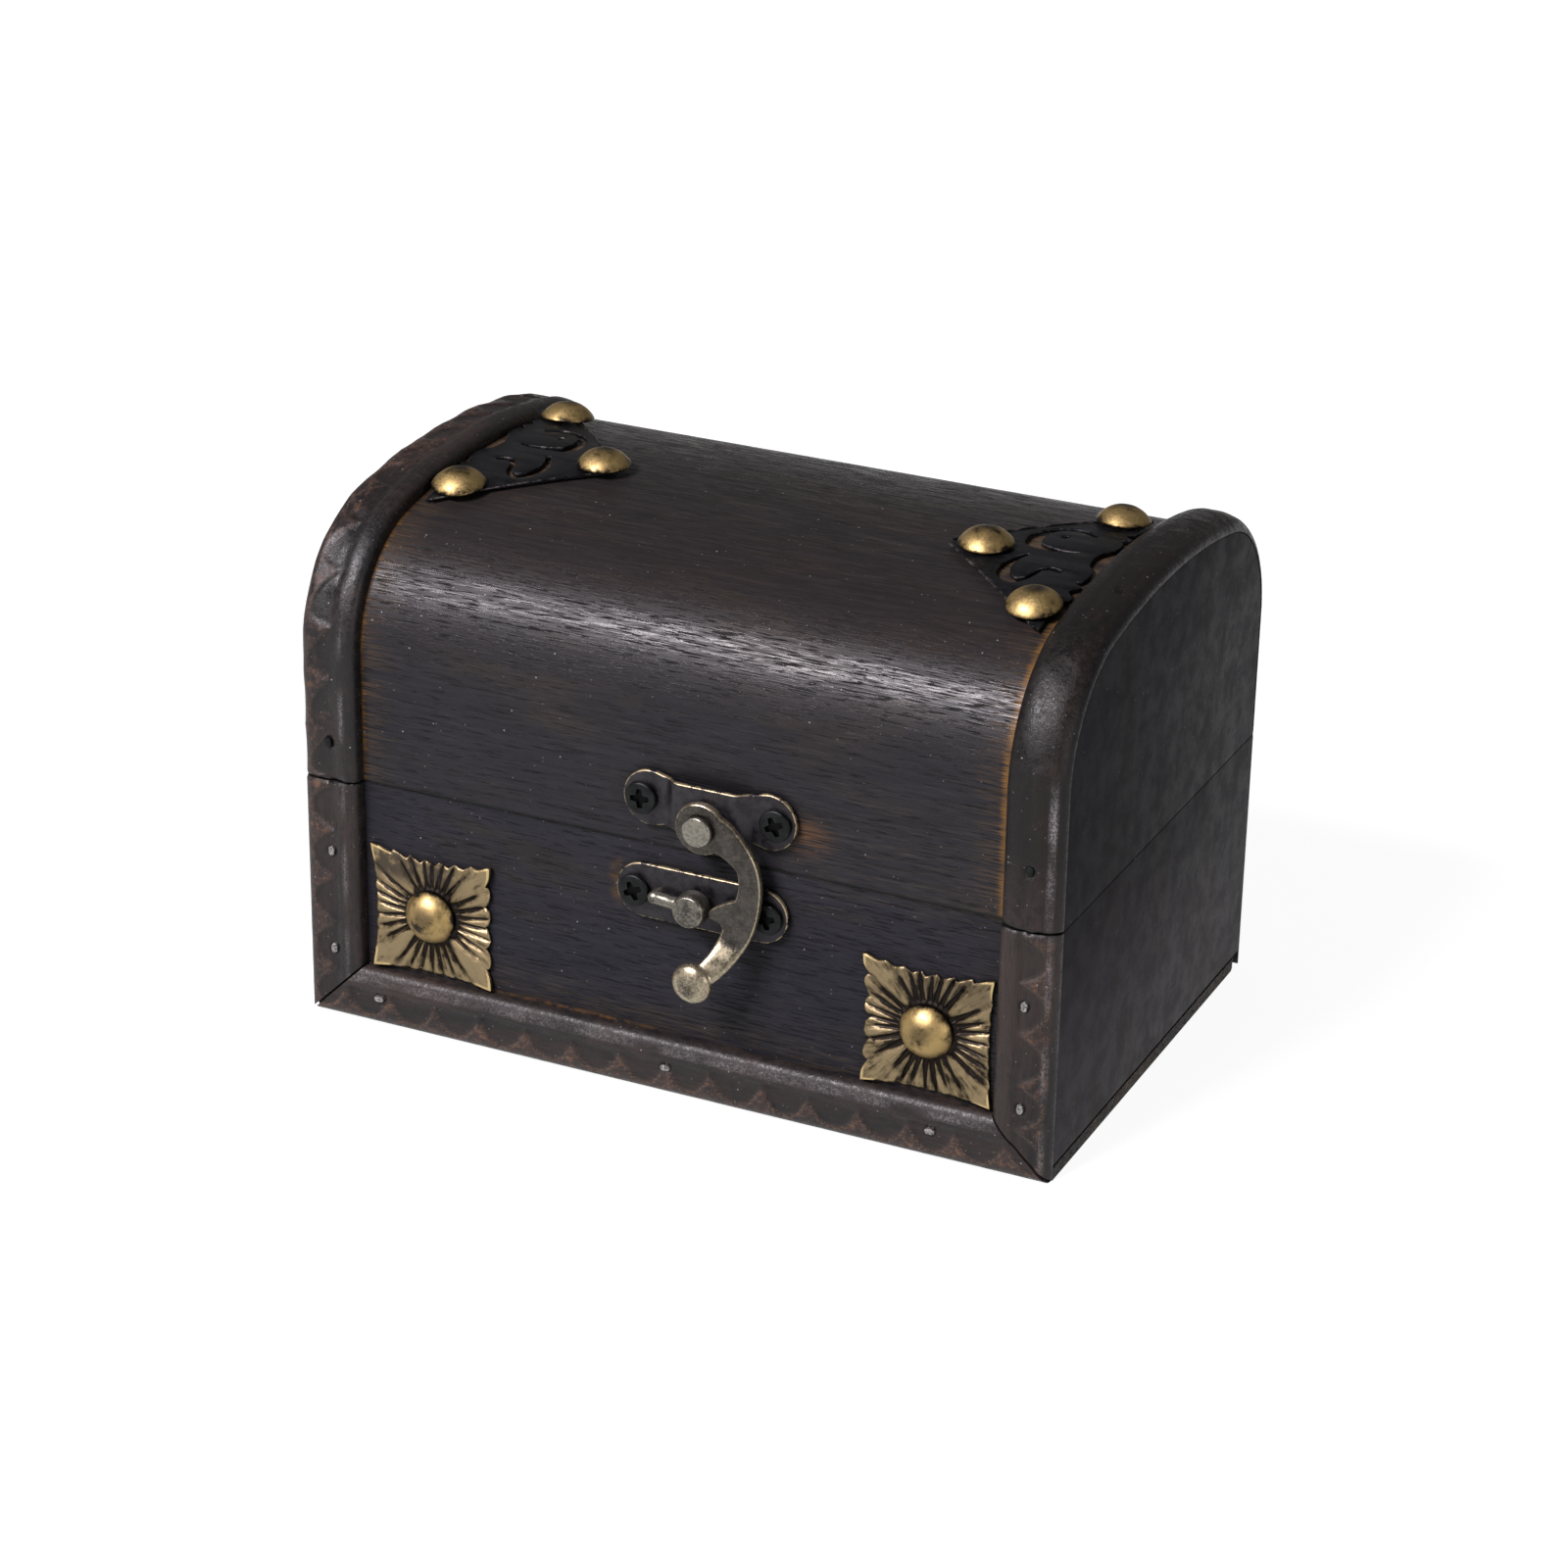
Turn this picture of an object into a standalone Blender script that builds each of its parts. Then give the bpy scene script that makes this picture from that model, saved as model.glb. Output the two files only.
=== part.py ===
"""Small domed wooden treasure box with carved mouldings, brass fittings and a swing-hook latch.

Metres, +Z up. X runs along the box, the front faces -Y, and the origin is the middle of the underside.
"""

import math

import bmesh
import bpy
from mathutils import Matrix, Vector

# Body of the box, without its mouldings
BODY_WIDTH = 0.1200
BODY_DEPTH = 0.0768
BODY_HEIGHT = 0.0790
SEAM_HEIGHT = 0.0389
SHOULDER_RADIUS = 0.0183
CROWN_RADIUS = 0.1190
END_THICKNESS = 0.0060
WALL_THICKNESS = 0.0040
SHELL_THICKNESS = 0.0030
BOTTOM_THICKNESS = 0.0020
BOTTOM_CORNER_RADIUS = 0.0030

# Clearance between touching pieces, and how far a cutter runs past what it cuts
SEAT_GAP = 0.0003
OVERRUN = 0.0010
MERGE_DISTANCE = 0.0000001

# Half-round mouldings
MOULDING_WIDTH = 0.0090
MOULDING_PROUD = 0.0026
REAR_RELIEF = 0.0017
MOULDING_ROUNDNESS = 3.8

# Brads through the mouldings
BRAD_LENGTH = 0.0042
BRAD_HEAD_LENGTH = 0.0016
BRAD_HEAD_WIDTH = 0.0010
BRAD_SINK = 0.0001
POST_BRAD_SHARES = (0.08, 0.62)
RAIL_BRAD_SHARES = (-0.40, 0.0, 0.35)
LEFT_LEG_BRAD_SHARE = 0.30
RIGHT_LEG_BRAD_SHARE = 0.46

# Domed tacks
TACK_RADIUS = 0.0041
TACK_HEIGHT = 0.0026
TACK_RIM = 0.0003
TACK_SHANK_RADIUS = 0.0007
TACK_BITE = 0.0020

# Stamped corner plates
PLATE_SIDE = 0.0204
PLATE_THICKNESS = 0.0005
PLATE_MARGIN = 0.0003
LEFT_PLATE_MARGIN = 0.0013
PLATE_TOOTH_DEPTH = 0.0008
PLATE_CORNER_REACH = 0.0007
PLATE_TEETH = 5

# Filigree brackets on the lid
BRACKET_HALF_LENGTH = 0.0220
BRACKET_DEPTH = 0.0218
BRACKET_LEAN = -0.0026
BRACKET_THICKNESS = 0.0005
BRACKET_LINE_SET_BACK = 0.0017
BRACKET_TACK_SET_BACK = 0.0001
BRACKET_TACK_SPREAD_SHARE = 0.765
LEFT_APEX_TACK_SHARE = 0.88
RIGHT_APEX_TACK_SHARE = 0.75
LEFT_BRACKET_SHIFT = 0.0003
RIGHT_BRACKET_SHIFT = -0.0035
BRACKET_BENDS = 10
# Wavy long edge: along the edge, then towards the moulding, in shares of the half length
BRACKET_EDGE_SHARES = (
    (0.00, -0.036), (0.10, -0.020), (0.18, 0.030), (0.27, 0.045), (0.35, 0.030), (0.38, -0.014),
    (0.44, 0.058), (0.50, 0.000), (0.60, 0.060), (0.64, 0.000),
)
# Scroll slots: away from the edge, along it, and half the slot's width, in the same shares
SCROLL_SHARES = (
    (
        (0.16, 0.40, 0.018), (0.27, 0.47, 0.022), (0.38, 0.47, 0.024), (0.46, 0.41, 0.030),
        (0.51, 0.29, 0.048), (0.49, 0.15, 0.050), (0.41, 0.10, 0.036), (0.32, 0.07, 0.024),
        (0.23, 0.055, 0.020), (0.155, 0.07, 0.016),
    ),
    (
        (0.44, -0.04, 0.018), (0.49, -0.13, 0.026), (0.51, -0.26, 0.036), (0.48, -0.37, 0.044),
        (0.40, -0.44, 0.036), (0.33, -0.40, 0.022), (0.30, -0.33, 0.018), (0.28, -0.26, 0.020),
        (0.22, -0.23, 0.024), (0.14, -0.26, 0.018),
    ),
)
DOT_SHARES = (0.34, 0.32)
DOT_RADIUS = 0.0006

# Latch, placed from the rivet that the hook turns on
PIVOT_X = 0.0062
PIVOT_ABOVE_SEAM = 0.00575
SCREW_SPACING = 0.0211
STRIP_END_REACH = 0.00305
STRIP_LENGTH = SCREW_SPACING + 2 * STRIP_END_REACH
STRIP_WIDTH = 0.0085
STRIP_THICKNESS = 0.0008
BRIDGE_LENGTH = 0.0115
BRIDGE_RAMP = 0.0018
BRIDGE_RISE = 0.0013
LATCH_STRIP_RISE = 0.0018
CATCH_STRIP_SHIFT = -0.0011
SCREW_HEAD_RADIUS = 0.00245
SCREW_HEAD_HEIGHT = 0.0008
SCREW_TOP_SHARE = 0.8
SCREW_SHANK_RADIUS = 0.0009
SCREW_BITE = 0.0020
CROSS_LENGTH = 0.0026
CROSS_WIDTH = 0.0006
CROSS_DEPTH = 0.0004
RIVET_HEAD_RADIUS = 0.0023
RIVET_HEAD_HEIGHT = 0.0009
RIVET_CHAMFER = 0.0004
RIVET_SHANK_RADIUS = 0.0011
RIVET_TAIL_RADIUS = 0.0017
RIVET_TAIL_HEIGHT = 0.0005

# Swing hook
HOOK_THICKNESS = 0.0015
HOOK_EYE_RADIUS = 0.0040
HOOK_EYE_EXTRA = 0.0001
HOOK_EYE_CHAMFER = 0.0003
HOOK_DROP = 0.0226
HOOK_BALL_RADIUS = 0.0031
HOOK_BALL_HALF_THICKNESS = 0.0017
SPUR_THICKNESS = 0.0013
# Arm route from the rivet: across, up, half width in shares of the drop, then the share of the flare
HOOK_ROUTE_SHARES = (
    (0.000, 0.000, 0.140, 0.00), (0.122, -0.028, 0.126, 0.00), (0.236, -0.104, 0.096, 0.00),
    (0.320, -0.208, 0.078, 0.00), (0.344, -0.334, 0.079, 0.00), (0.326, -0.474, 0.088, 0.00),
    (0.284, -0.610, 0.098, 0.00), (0.236, -0.730, 0.094, 0.10), (0.180, -0.840, 0.084, 0.50),
    (0.106, -0.930, 0.076, 0.88), (0.024, -1.000, 0.066, 1.00),
)
# Spur outline, anticlockwise from its root's top, in shares of the drop
SPUR_TIP_SHARES = (0.062, -0.572)
SPUR_SHARES = (
    (0.300, -0.430), (0.225, -0.452), (0.140, -0.495), (0.078, -0.540), SPUR_TIP_SHARES,
    (0.078, -0.598), (0.120, -0.612), (0.150, -0.630), (0.168, -0.672), (0.220, -0.720), (0.300, -0.640),
)
# Section of the arm: across and out, in shares of its half width and half thickness
ARM_SECTION_SHARES = ((-1, -0.5), (-0.7, -1), (0.7, -1), (1, -0.5), (1, 0.5), (0.7, 1), (-0.7, 1), (-1, 0.5))

# Catch
SWING_CLEARANCE = 0.0004
CATCH_RADIUS = 0.0026
CATCH_FLAT_SHARE = 0.93
CATCH_BACK = 0.0020
CATCH_REACH = 0.0052
CATCH_RIM = 0.0005
ROD_RADIUS = 0.0010
ROD_JOIN_SHARE = 0.45
BALL_CLEARANCE = 0.0003

# Hinges on the back
HINGE_SPACING = BODY_WIDTH / 2
HINGE_WIDTH = 0.0160
LEAF_HEIGHT = 0.0070
LEAF_THICKNESS = 0.0006
KNUCKLE_RADIUS = 0.0013
PIN_RADIUS = 0.0005
PIN_HEAD_RADIUS = 0.0009
PIN_HEAD_LENGTH = 0.0005
MIDDLE_KNUCKLE_SHARE = 0.36
HINGE_SCREW_SPACING = 0.0100
HINGE_SCREW_RISE_SHARE = 0.60
HINGE_SCREW_HEAD_RADIUS = 0.0011
HINGE_SCREW_HEAD_HEIGHT = 0.0004
HINGE_SCREW_SHANK_RADIUS = 0.0004
HINGE_SCREW_BITE = 0.0018

# Facets
SHOULDER_STEPS = 9
CROWN_STEPS = 5
SECTION_STEPS = 10
ROUND_STEPS = 16
SMALL_ROUND_STEPS = 8
DOME_STEPS = 4
CORNER_STEPS = 4
STRIP_STEPS = 8
BRAD_STEPS = 2
SMOOTH_ANGLE = math.radians(35)

SIDES = ((-1, "left"), (1, "right"))

# Places that follow from the sizes
HALF_WIDTH = BODY_WIDTH / 2
HALF_DEPTH = BODY_DEPTH / 2
INNER_HALF_WIDTH = HALF_WIDTH - END_THICKNESS
LID_BOTTOM = SEAM_HEIGHT + SEAT_GAP / 2
BASE_TOP = SEAM_HEIGHT - SEAT_GAP / 2
WALL_FOOT = BOTTOM_THICKNESS + SEAT_GAP
CROWN_TILT = math.asin((HALF_DEPTH - SHOULDER_RADIUS) / (CROWN_RADIUS - SHOULDER_RADIUS))
CROWN_CENTRE = BODY_HEIGHT - CROWN_RADIUS
SHOULDER_Y = HALF_DEPTH - SHOULDER_RADIUS
SHOULDER_Z = CROWN_CENTRE + (CROWN_RADIUS - SHOULDER_RADIUS) * math.cos(CROWN_TILT)
MOULDING_X = HALF_WIDTH - MOULDING_WIDTH / 2
MOULDING_EDGE = HALF_WIDTH - MOULDING_WIDTH

HINGE_AXIS = Vector((0, HALF_DEPTH + SEAT_GAP + KNUCKLE_RADIUS, SEAM_HEIGHT))
PIVOT_Z = SEAM_HEIGHT + PIVOT_ABOVE_SEAM
STRIP_FRONT = SEAT_GAP + STRIP_THICKNESS
HOOK_BACK = STRIP_FRONT + BRIDGE_RISE + SEAT_GAP
HOOK_MIDDLE = HOOK_BACK + HOOK_THICKNESS / 2
HOOK_FLARE = CATCH_REACH + BALL_CLEARANCE + HOOK_BALL_HALF_THICKNESS - HOOK_MIDDLE
HOOK_PIVOT = Vector((PIVOT_X, -HALF_DEPTH - HOOK_MIDDLE, PIVOT_Z))
LATCH_STRIP_Z = PIVOT_Z + LATCH_STRIP_RISE
CATCH_FLAT_X = PIVOT_X + SPUR_TIP_SHARES[0] * HOOK_DROP - SWING_CLEARANCE
CATCH_X = CATCH_FLAT_X - CATCH_RADIUS * CATCH_FLAT_SHARE
CATCH_Z = PIVOT_Z + SPUR_TIP_SHARES[1] * HOOK_DROP
CATCH_STRIP_X = PIVOT_X + CATCH_STRIP_SHIFT
ROD_FOOT_X = CATCH_STRIP_X - SCREW_SPACING / 2 + SCREW_HEAD_RADIUS + SEAT_GAP + ROD_RADIUS
ROD_OUT = STRIP_FRONT + SEAT_GAP + ROD_RADIUS


# Materials

def material(name, colour, roughness, metallic):
    made = bpy.data.materials.new(name)
    made.use_nodes = True
    shader = made.node_tree.nodes["Principled BSDF"]
    shader.inputs["Base Color"].default_value = (*colour, 1.0)
    shader.inputs["Roughness"].default_value = roughness
    shader.inputs["Metallic"].default_value = metallic
    made.diffuse_color = (*colour, 1.0)
    return made


def make_materials():
    return {
        "board": material("dark_stained_board", (0.020, 0.018, 0.019), 0.45, 0.0),
        "moulding": material("dark_stained_moulding", (0.032, 0.022, 0.018), 0.42, 0.0),
        "stamped": material("stamped_antique_brass", (0.300, 0.205, 0.085), 0.40, 1.0),
        "tack": material("domed_antique_brass", (0.400, 0.285, 0.105), 0.30, 1.0),
        "black": material("black_lacquered_steel", (0.015, 0.015, 0.017), 0.40, 0.6),
        "bronze": material("antique_bronze", (0.155, 0.130, 0.095), 0.38, 1.0),
        "worn": material("worn_bronze", (0.380, 0.340, 0.280), 0.35, 1.0),
        "screw": material("blackened_screw", (0.025, 0.028, 0.030), 0.45, 0.8),
        "brad": material("dull_steel_brad", (0.250, 0.240, 0.230), 0.45, 1.0),
        "hinge": material("plain_brass_hinge", (0.420, 0.310, 0.120), 0.35, 1.0),
    }


# Objects

def clear_scene():
    for item in list(bpy.data.objects):
        bpy.data.objects.remove(item, do_unlink=True)


def axis_empty(name, place):
    empty = bpy.data.objects.new(name, None)
    empty.location = place
    empty.empty_display_size = MOULDING_WIDTH
    bpy.context.collection.objects.link(empty)
    return empty


def object_from(name, bm, surface, parent, place=None):
    """Make an object under the empty on its joint's axis; without a place its mesh is in world places."""
    bmesh.ops.recalc_face_normals(bm, faces=bm.faces)
    mesh = bpy.data.meshes.new(name)
    bm.to_mesh(mesh)
    bm.free()
    mesh.shade_smooth()
    mesh.set_sharp_from_angle(angle=SMOOTH_ANGLE)
    made = bpy.data.objects.new(name, mesh)
    bpy.context.collection.objects.link(made)
    if surface:
        mesh.materials.append(surface)
    made.parent = parent
    made.matrix_local = Matrix.Translation(-parent.location) @ (place or Matrix())
    return made


def cutter_from(name, bm, parent, place=None):
    made = object_from(name, bm, None, parent, place)
    made.hide_render = True
    made.display_type = "WIRE"
    return made


def combine(target, tool, operation):
    boolean = target.modifiers.new(tool.name, "BOOLEAN")
    boolean.operation = operation
    boolean.object = tool


def cut(tool, *targets):
    for target in targets:
        combine(target, tool, "DIFFERENCE")


# Places on the surface: local +Z points outwards, local +Y upwards or backwards

def on_front(x, z, out=0.0):
    return Matrix.Translation((x, -HALF_DEPTH - out, z)) @ Matrix.Rotation(math.pi / 2, 4, "X")


def on_back(x, z, out=0.0):
    turn = Matrix.Rotation(math.pi, 4, "Z") @ Matrix.Rotation(math.pi / 2, 4, "X")
    return Matrix.Translation((x, HALF_DEPTH + out, z)) @ turn


def on_crown(x, y, out=0.0):
    tilt = math.asin(y / CROWN_RADIUS)
    centre = Matrix.Translation((x, 0, CROWN_CENTRE))
    return centre @ Matrix.Rotation(-tilt, 4, "X") @ Matrix.Translation((0, 0, CROWN_RADIUS + out))


# Solids

def prism(outline, depth, place=None):
    """Extrude a flat outline along local +Z."""
    bm = bmesh.new()
    base = bm.faces.new([bm.verts.new((x, y, 0)) for x, y in outline])
    grown = bmesh.ops.extrude_face_region(bm, geom=[base])
    top = [item for item in grown["geom"] if isinstance(item, bmesh.types.BMVert)]
    bmesh.ops.translate(bm, verts=top, vec=(0, 0, depth))
    if place:
        bmesh.ops.transform(bm, matrix=place, verts=bm.verts)
    return bm


def box(low, high):
    x0, y0, z0 = low
    x1, y1, z1 = high
    return prism(((x0, y0), (x1, y0), (x1, y1), (x0, y1)), z1 - z0, Matrix.Translation((0, 0, z0)))


def skin(rings):
    """Join closed rings of equal count into one tube with flat ends."""
    bm = bmesh.new()
    rows = [[bm.verts.new(point) for point in ring] for ring in rings]
    count = len(rows[0])
    for near, far in zip(rows, rows[1:]):
        for i in range(count):
            j = (i + 1) % count
            bm.faces.new((near[i], near[j], far[j], far[i]))
    bm.faces.new(rows[0])
    bm.faces.new(rows[-1])
    return bm


def turned(profile, steps):
    """Turn (radius, height) points, from the axis to the axis, about local +Z."""
    bm = bmesh.new()
    line = [bm.verts.new((radius, 0, height)) for radius, height in profile]
    edges = [bm.edges.new(pair) for pair in zip(line, line[1:])]
    bmesh.ops.spin(bm, geom=line + edges, cent=(0, 0, 0), axis=(0, 0, 1), angle=math.tau, steps=steps)
    bmesh.ops.remove_doubles(bm, verts=bm.verts, dist=MERGE_DISTANCE)
    return bm


def rod(radius, low, high, steps):
    return turned(((0, low), (radius, low), (radius, high), (0, high)), steps)


# Outlines

def arc(centre, radius, start, end, steps):
    """Points on an arc, angles in radians, both ends included."""
    angles = [start + (end - start) * i / steps for i in range(steps + 1)]
    return [(centre[0] + radius * math.cos(a), centre[1] + radius * math.sin(a)) for a in angles]


def round_strip(length, width, steps):
    """A strip with half-round ends, centred, with its length along X."""
    reach = (length - width) / 2
    right = arc((reach, 0), width / 2, -math.pi / 2, math.pi / 2, steps)
    left = arc((-reach, 0), width / 2, math.pi / 2, 3 * math.pi / 2, steps)
    return right + left


def smooth_route(points, steps):
    """A Catmull-Rom curve through points of any dimension."""
    rows = [Vector(point) for point in points]
    rows = [2 * rows[0] - rows[1]] + rows + [2 * rows[-1] - rows[-2]]
    made = []
    for a, b, c, d in zip(rows, rows[1:], rows[2:], rows[3:]):
        bend = 2 * a - 5 * b + 4 * c - d
        twist = 3 * b - a - 3 * c + d
        for i in range(steps):
            t = i / steps
            made.append(0.5 * (2 * b + (c - a) * t + bend * t**2 + twist * t**3))
    made.append(rows[-2])
    return made


def side_steps(route):
    """For each point of a flat route, the unit vector to its left."""
    sides = []
    for i in range(len(route)):
        ahead = route[min(i + 1, len(route) - 1)] - route[max(i - 1, 0)]
        sides.append(Vector((-ahead[1], ahead[0])).normalized())
    return sides


def slot_outline(points, scale):
    """The outline of a slot from its (x, y, half width) route."""
    route = smooth_route([[value * scale for value in point] for point in points], 2)
    sides = side_steps(route)
    left = [(p[0] + s[0] * p[2], p[1] + s[1] * p[2]) for p, s in zip(route, sides)]
    right = [(p[0] - s[0] * p[2], p[1] - s[1] * p[2]) for p, s in zip(route, sides)]
    return left + right[::-1]


def dome_path(inset):
    """The lid's outline from the front seam over the crown to the back seam, as ((y, z), outward) pairs."""
    path = [((-HALF_DEPTH, LID_BOTTOM), (-1.0, 0.0))]
    sweep = math.pi / 2 - CROWN_TILT
    for i in range(SHOULDER_STEPS + 1):
        turn = sweep * i / SHOULDER_STEPS
        out = (-math.cos(turn), math.sin(turn))
        path.append(((-SHOULDER_Y + SHOULDER_RADIUS * out[0], SHOULDER_Z + SHOULDER_RADIUS * out[1]), out))
    for i in range(1, CROWN_STEPS):
        turn = CROWN_TILT * (2 * i / CROWN_STEPS - 1)
        out = (math.sin(turn), math.cos(turn))
        path.append(((CROWN_RADIUS * out[0], CROWN_CENTRE + CROWN_RADIUS * out[1]), out))
    path += [((-y, z), (-out_y, out_z)) for (y, z), (out_y, out_z) in reversed(path[: SHOULDER_STEPS + 2])]
    return [((y - inset * out[0], z - inset * out[1]), out) for (y, z), out in path]


def moulding_section():
    """Half of a flattened round, as (across, out) points from one foot to the other."""
    section = []
    for i in range(SECTION_STEPS + 1):
        turn = math.pi * i / SECTION_STEPS
        power = 2 / MOULDING_ROUNDNESS
        across = math.copysign(abs(math.cos(turn)) ** power, -math.cos(turn)) * MOULDING_WIDTH / 2
        out = SEAT_GAP + (MOULDING_PROUD - SEAT_GAP) * abs(math.sin(turn)) ** power
        section.append((across, out))
    return section


# Boards of the base

def make_bottom_board(surfaces, base):
    corner_x = HALF_WIDTH - BOTTOM_CORNER_RADIUS
    corner_y = HALF_DEPTH - BOTTOM_CORNER_RADIUS
    outline = [(-HALF_WIDTH, -HALF_DEPTH), (HALF_WIDTH, -HALF_DEPTH)]
    outline += arc((corner_x, corner_y), BOTTOM_CORNER_RADIUS, 0, math.pi / 2, CORNER_STEPS)
    outline += arc((-corner_x, corner_y), BOTTOM_CORNER_RADIUS, math.pi / 2, math.pi, CORNER_STEPS)
    return object_from("bottom_board", prism(outline, BOTTOM_THICKNESS), surfaces["board"], base)


def make_base_walls(surfaces, base):
    reach = INNER_HALF_WIDTH - SEAT_GAP
    inner = HALF_DEPTH - WALL_THICKNESS
    corners = {
        "base_front_board": (-reach, reach, -HALF_DEPTH, -inner),
        "base_back_board": (-reach, reach, inner, HALF_DEPTH),
        "base_left_end": (-HALF_WIDTH, -INNER_HALF_WIDTH, -HALF_DEPTH, HALF_DEPTH),
        "base_right_end": (INNER_HALF_WIDTH, HALF_WIDTH, -HALF_DEPTH, HALF_DEPTH),
    }
    walls = {}
    for name, (low_x, high_x, low_y, high_y) in corners.items():
        bm = box((low_x, low_y, WALL_FOOT), (high_x, high_y, BASE_TOP))
        walls[name] = object_from(name, bm, surfaces["board"], base)
    return walls


# Boards of the lid

def make_lid_shell(surfaces, lid):
    """A sheet bent over the dome, between the end boards."""
    reach = INNER_HALF_WIDTH - SEAT_GAP
    rings = []
    for (outer, _), (inner, _) in zip(dome_path(0), dome_path(SHELL_THICKNESS)):
        rings.append(((-reach, *outer), (reach, *outer), (reach, *inner), (-reach, *inner)))
    return object_from("lid_shell", skin(rings), surfaces["board"], lid)


def make_lid_ends(surfaces, lid):
    path = dome_path(0)
    ends = []
    for name, low_x in (("lid_left_end", -HALF_WIDTH), ("lid_right_end", INNER_HALF_WIDTH)):
        rings = [[(x, *point) for point, _ in path] for x in (low_x, low_x + END_THICKNESS)]
        ends.append(object_from(name, skin(rings), surfaces["board"], lid))
    return ends


# Mouldings

def relief(out):
    """How far a moulding's seam end steps back at the rear, so that the lid can turn past upright."""
    return max(0.0, out - (MOULDING_PROUD - REAR_RELIEF))


def make_arch(name, middle_x, surfaces, lid):
    rings = []
    path = dome_path(0)
    for step, ((y, z), (out_y, out_z)) in enumerate(path):
        ring = []
        for across, out in moulding_section():
            lift = relief(out) if step == len(path) - 1 else 0.0
            ring.append((middle_x + across, y + out * out_y, z + out * out_z + lift))
        rings.append(ring)
    return object_from(name, skin(rings), surfaces["moulding"], lid)


def make_post(name, side, front, surfaces, base):
    """A post on the base: the front ones are mitred into the rail at the foot."""
    foot = []
    head = []
    face = -1 if front else 1
    for across, out in moulding_section():
        x = side * MOULDING_X + across
        y = face * (HALF_DEPTH + out)
        mitre = HALF_WIDTH - abs(x) + SEAT_GAP
        foot.append((x, y, mitre if front else 0.0))
        head.append((x, y, BASE_TOP - (0.0 if front else relief(out))))
    return object_from(name, skin((foot, head)), surfaces["moulding"], base)


def make_rail(surfaces, base):
    ends = []
    for side in (-1, 1):
        ring = []
        for across, out in moulding_section():
            z = MOULDING_WIDTH / 2 + across
            ring.append((side * (HALF_WIDTH - z - SEAT_GAP / 2), -HALF_DEPTH - out, z))
        ends.append(ring)
    return object_from("base_front_rail", skin(ends), surfaces["moulding"], base)


def brad_places():
    """Where the brads of the lid's and the base's front mouldings go, with local +Z outwards."""
    lid = []
    base = []
    post_height = BASE_TOP - MOULDING_WIDTH
    for side in (-1, 1):
        x = side * MOULDING_X
        share = LEFT_LEG_BRAD_SHARE if side < 0 else RIGHT_LEG_BRAD_SHARE
        lid.append(on_front(x, LID_BOTTOM + share * (SHOULDER_Z - LID_BOTTOM)))
        base += [on_front(x, MOULDING_WIDTH + share * post_height) for share in POST_BRAD_SHARES]
    across = Matrix.Rotation(math.pi / 2, 4, "Z")
    base += [on_front(share * BODY_WIDTH, MOULDING_WIDTH / 2) @ across for share in RAIL_BRAD_SHARES]
    return lid, base


def make_brads(prefix, places, targets, surfaces, parent):
    """Oblong brads, each in a slightly larger slot through the moulding into the board."""
    upright = Matrix.Rotation(math.pi / 2, 4, "Z")
    low = Matrix.Translation((0, 0, MOULDING_PROUD - BRAD_SINK - BRAD_LENGTH)) @ upright
    deeper = Matrix.Translation((0, 0, -SEAT_GAP)) @ low
    room = 2 * SEAT_GAP
    for count, place in enumerate(places, 1):
        name = "%s_brad_%d" % (prefix, count)
        outline = round_strip(BRAD_HEAD_LENGTH, BRAD_HEAD_WIDTH, BRAD_STEPS)
        object_from(name, prism(outline, BRAD_LENGTH), surfaces["brad"], parent, place @ low)
        outline = round_strip(BRAD_HEAD_LENGTH + room, BRAD_HEAD_WIDTH + room, BRAD_STEPS)
        slot = prism(outline, BRAD_LENGTH + OVERRUN)
        cut(cutter_from(name + "_slot", slot, parent, place @ deeper), *targets)


# Tacks, plates and brackets

def tack_profile():
    """A domed head on a pointed shank: the head's underside is at height 0."""
    sphere = (TACK_RADIUS**2 + (TACK_HEIGHT - TACK_RIM) ** 2) / (2 * (TACK_HEIGHT - TACK_RIM))
    spread = math.asin(min(1.0, TACK_RADIUS / sphere))
    centre = TACK_HEIGHT - sphere
    dome = []
    for i in range(DOME_STEPS + 1):
        turn = spread * (1 - i / DOME_STEPS)
        dome.append((sphere * math.sin(turn), centre + sphere * math.cos(turn)))
    tip = -TACK_BITE - PLATE_THICKNESS - 2 * SEAT_GAP
    shoulder = tip + TACK_SHANK_RADIUS
    return [(0, tip), (TACK_SHANK_RADIUS, shoulder), (TACK_SHANK_RADIUS, 0), (TACK_RADIUS, 0)] + dome


def drive(name, bm, place, seat, shank_radius, bite, surface, parent, targets):
    """Seat a fastener on what it holds, and cut the hole for its shank."""
    made = object_from(name, bm, surface, parent, place @ Matrix.Translation((0, 0, seat)))
    hole = rod(shank_radius + SEAT_GAP, -bite - SEAT_GAP, seat + OVERRUN, SMALL_ROUND_STEPS)
    cut(cutter_from(name + "_hole", hole, parent, place), *targets)
    return made


def make_tack(name, place, surfaces, parent, *targets):
    seat = PLATE_THICKNESS + 2 * SEAT_GAP
    bm = turned(tack_profile(), ROUND_STEPS)
    drive(name, bm, place, seat, TACK_SHANK_RADIUS, TACK_BITE, surfaces["tack"], parent, targets)


def plate_edge():
    """One side of the stamped plate, from its left corner, with saw-like teeth; outwards is +Y."""
    half = PLATE_SIDE / 2 - PLATE_CORNER_REACH
    pitch = 2 * half / (PLATE_TEETH + 1)
    edge = [(-PLATE_SIDE / 2, PLATE_SIDE / 2)]
    for tooth in range(PLATE_TEETH):
        middle = -half + pitch * (tooth + 1)
        edge.append((middle - pitch / 2, half - PLATE_TOOTH_DEPTH))
        edge.append((middle, half))
    edge.append((half - pitch / 2, half - PLATE_TOOTH_DEPTH))
    return edge


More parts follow.
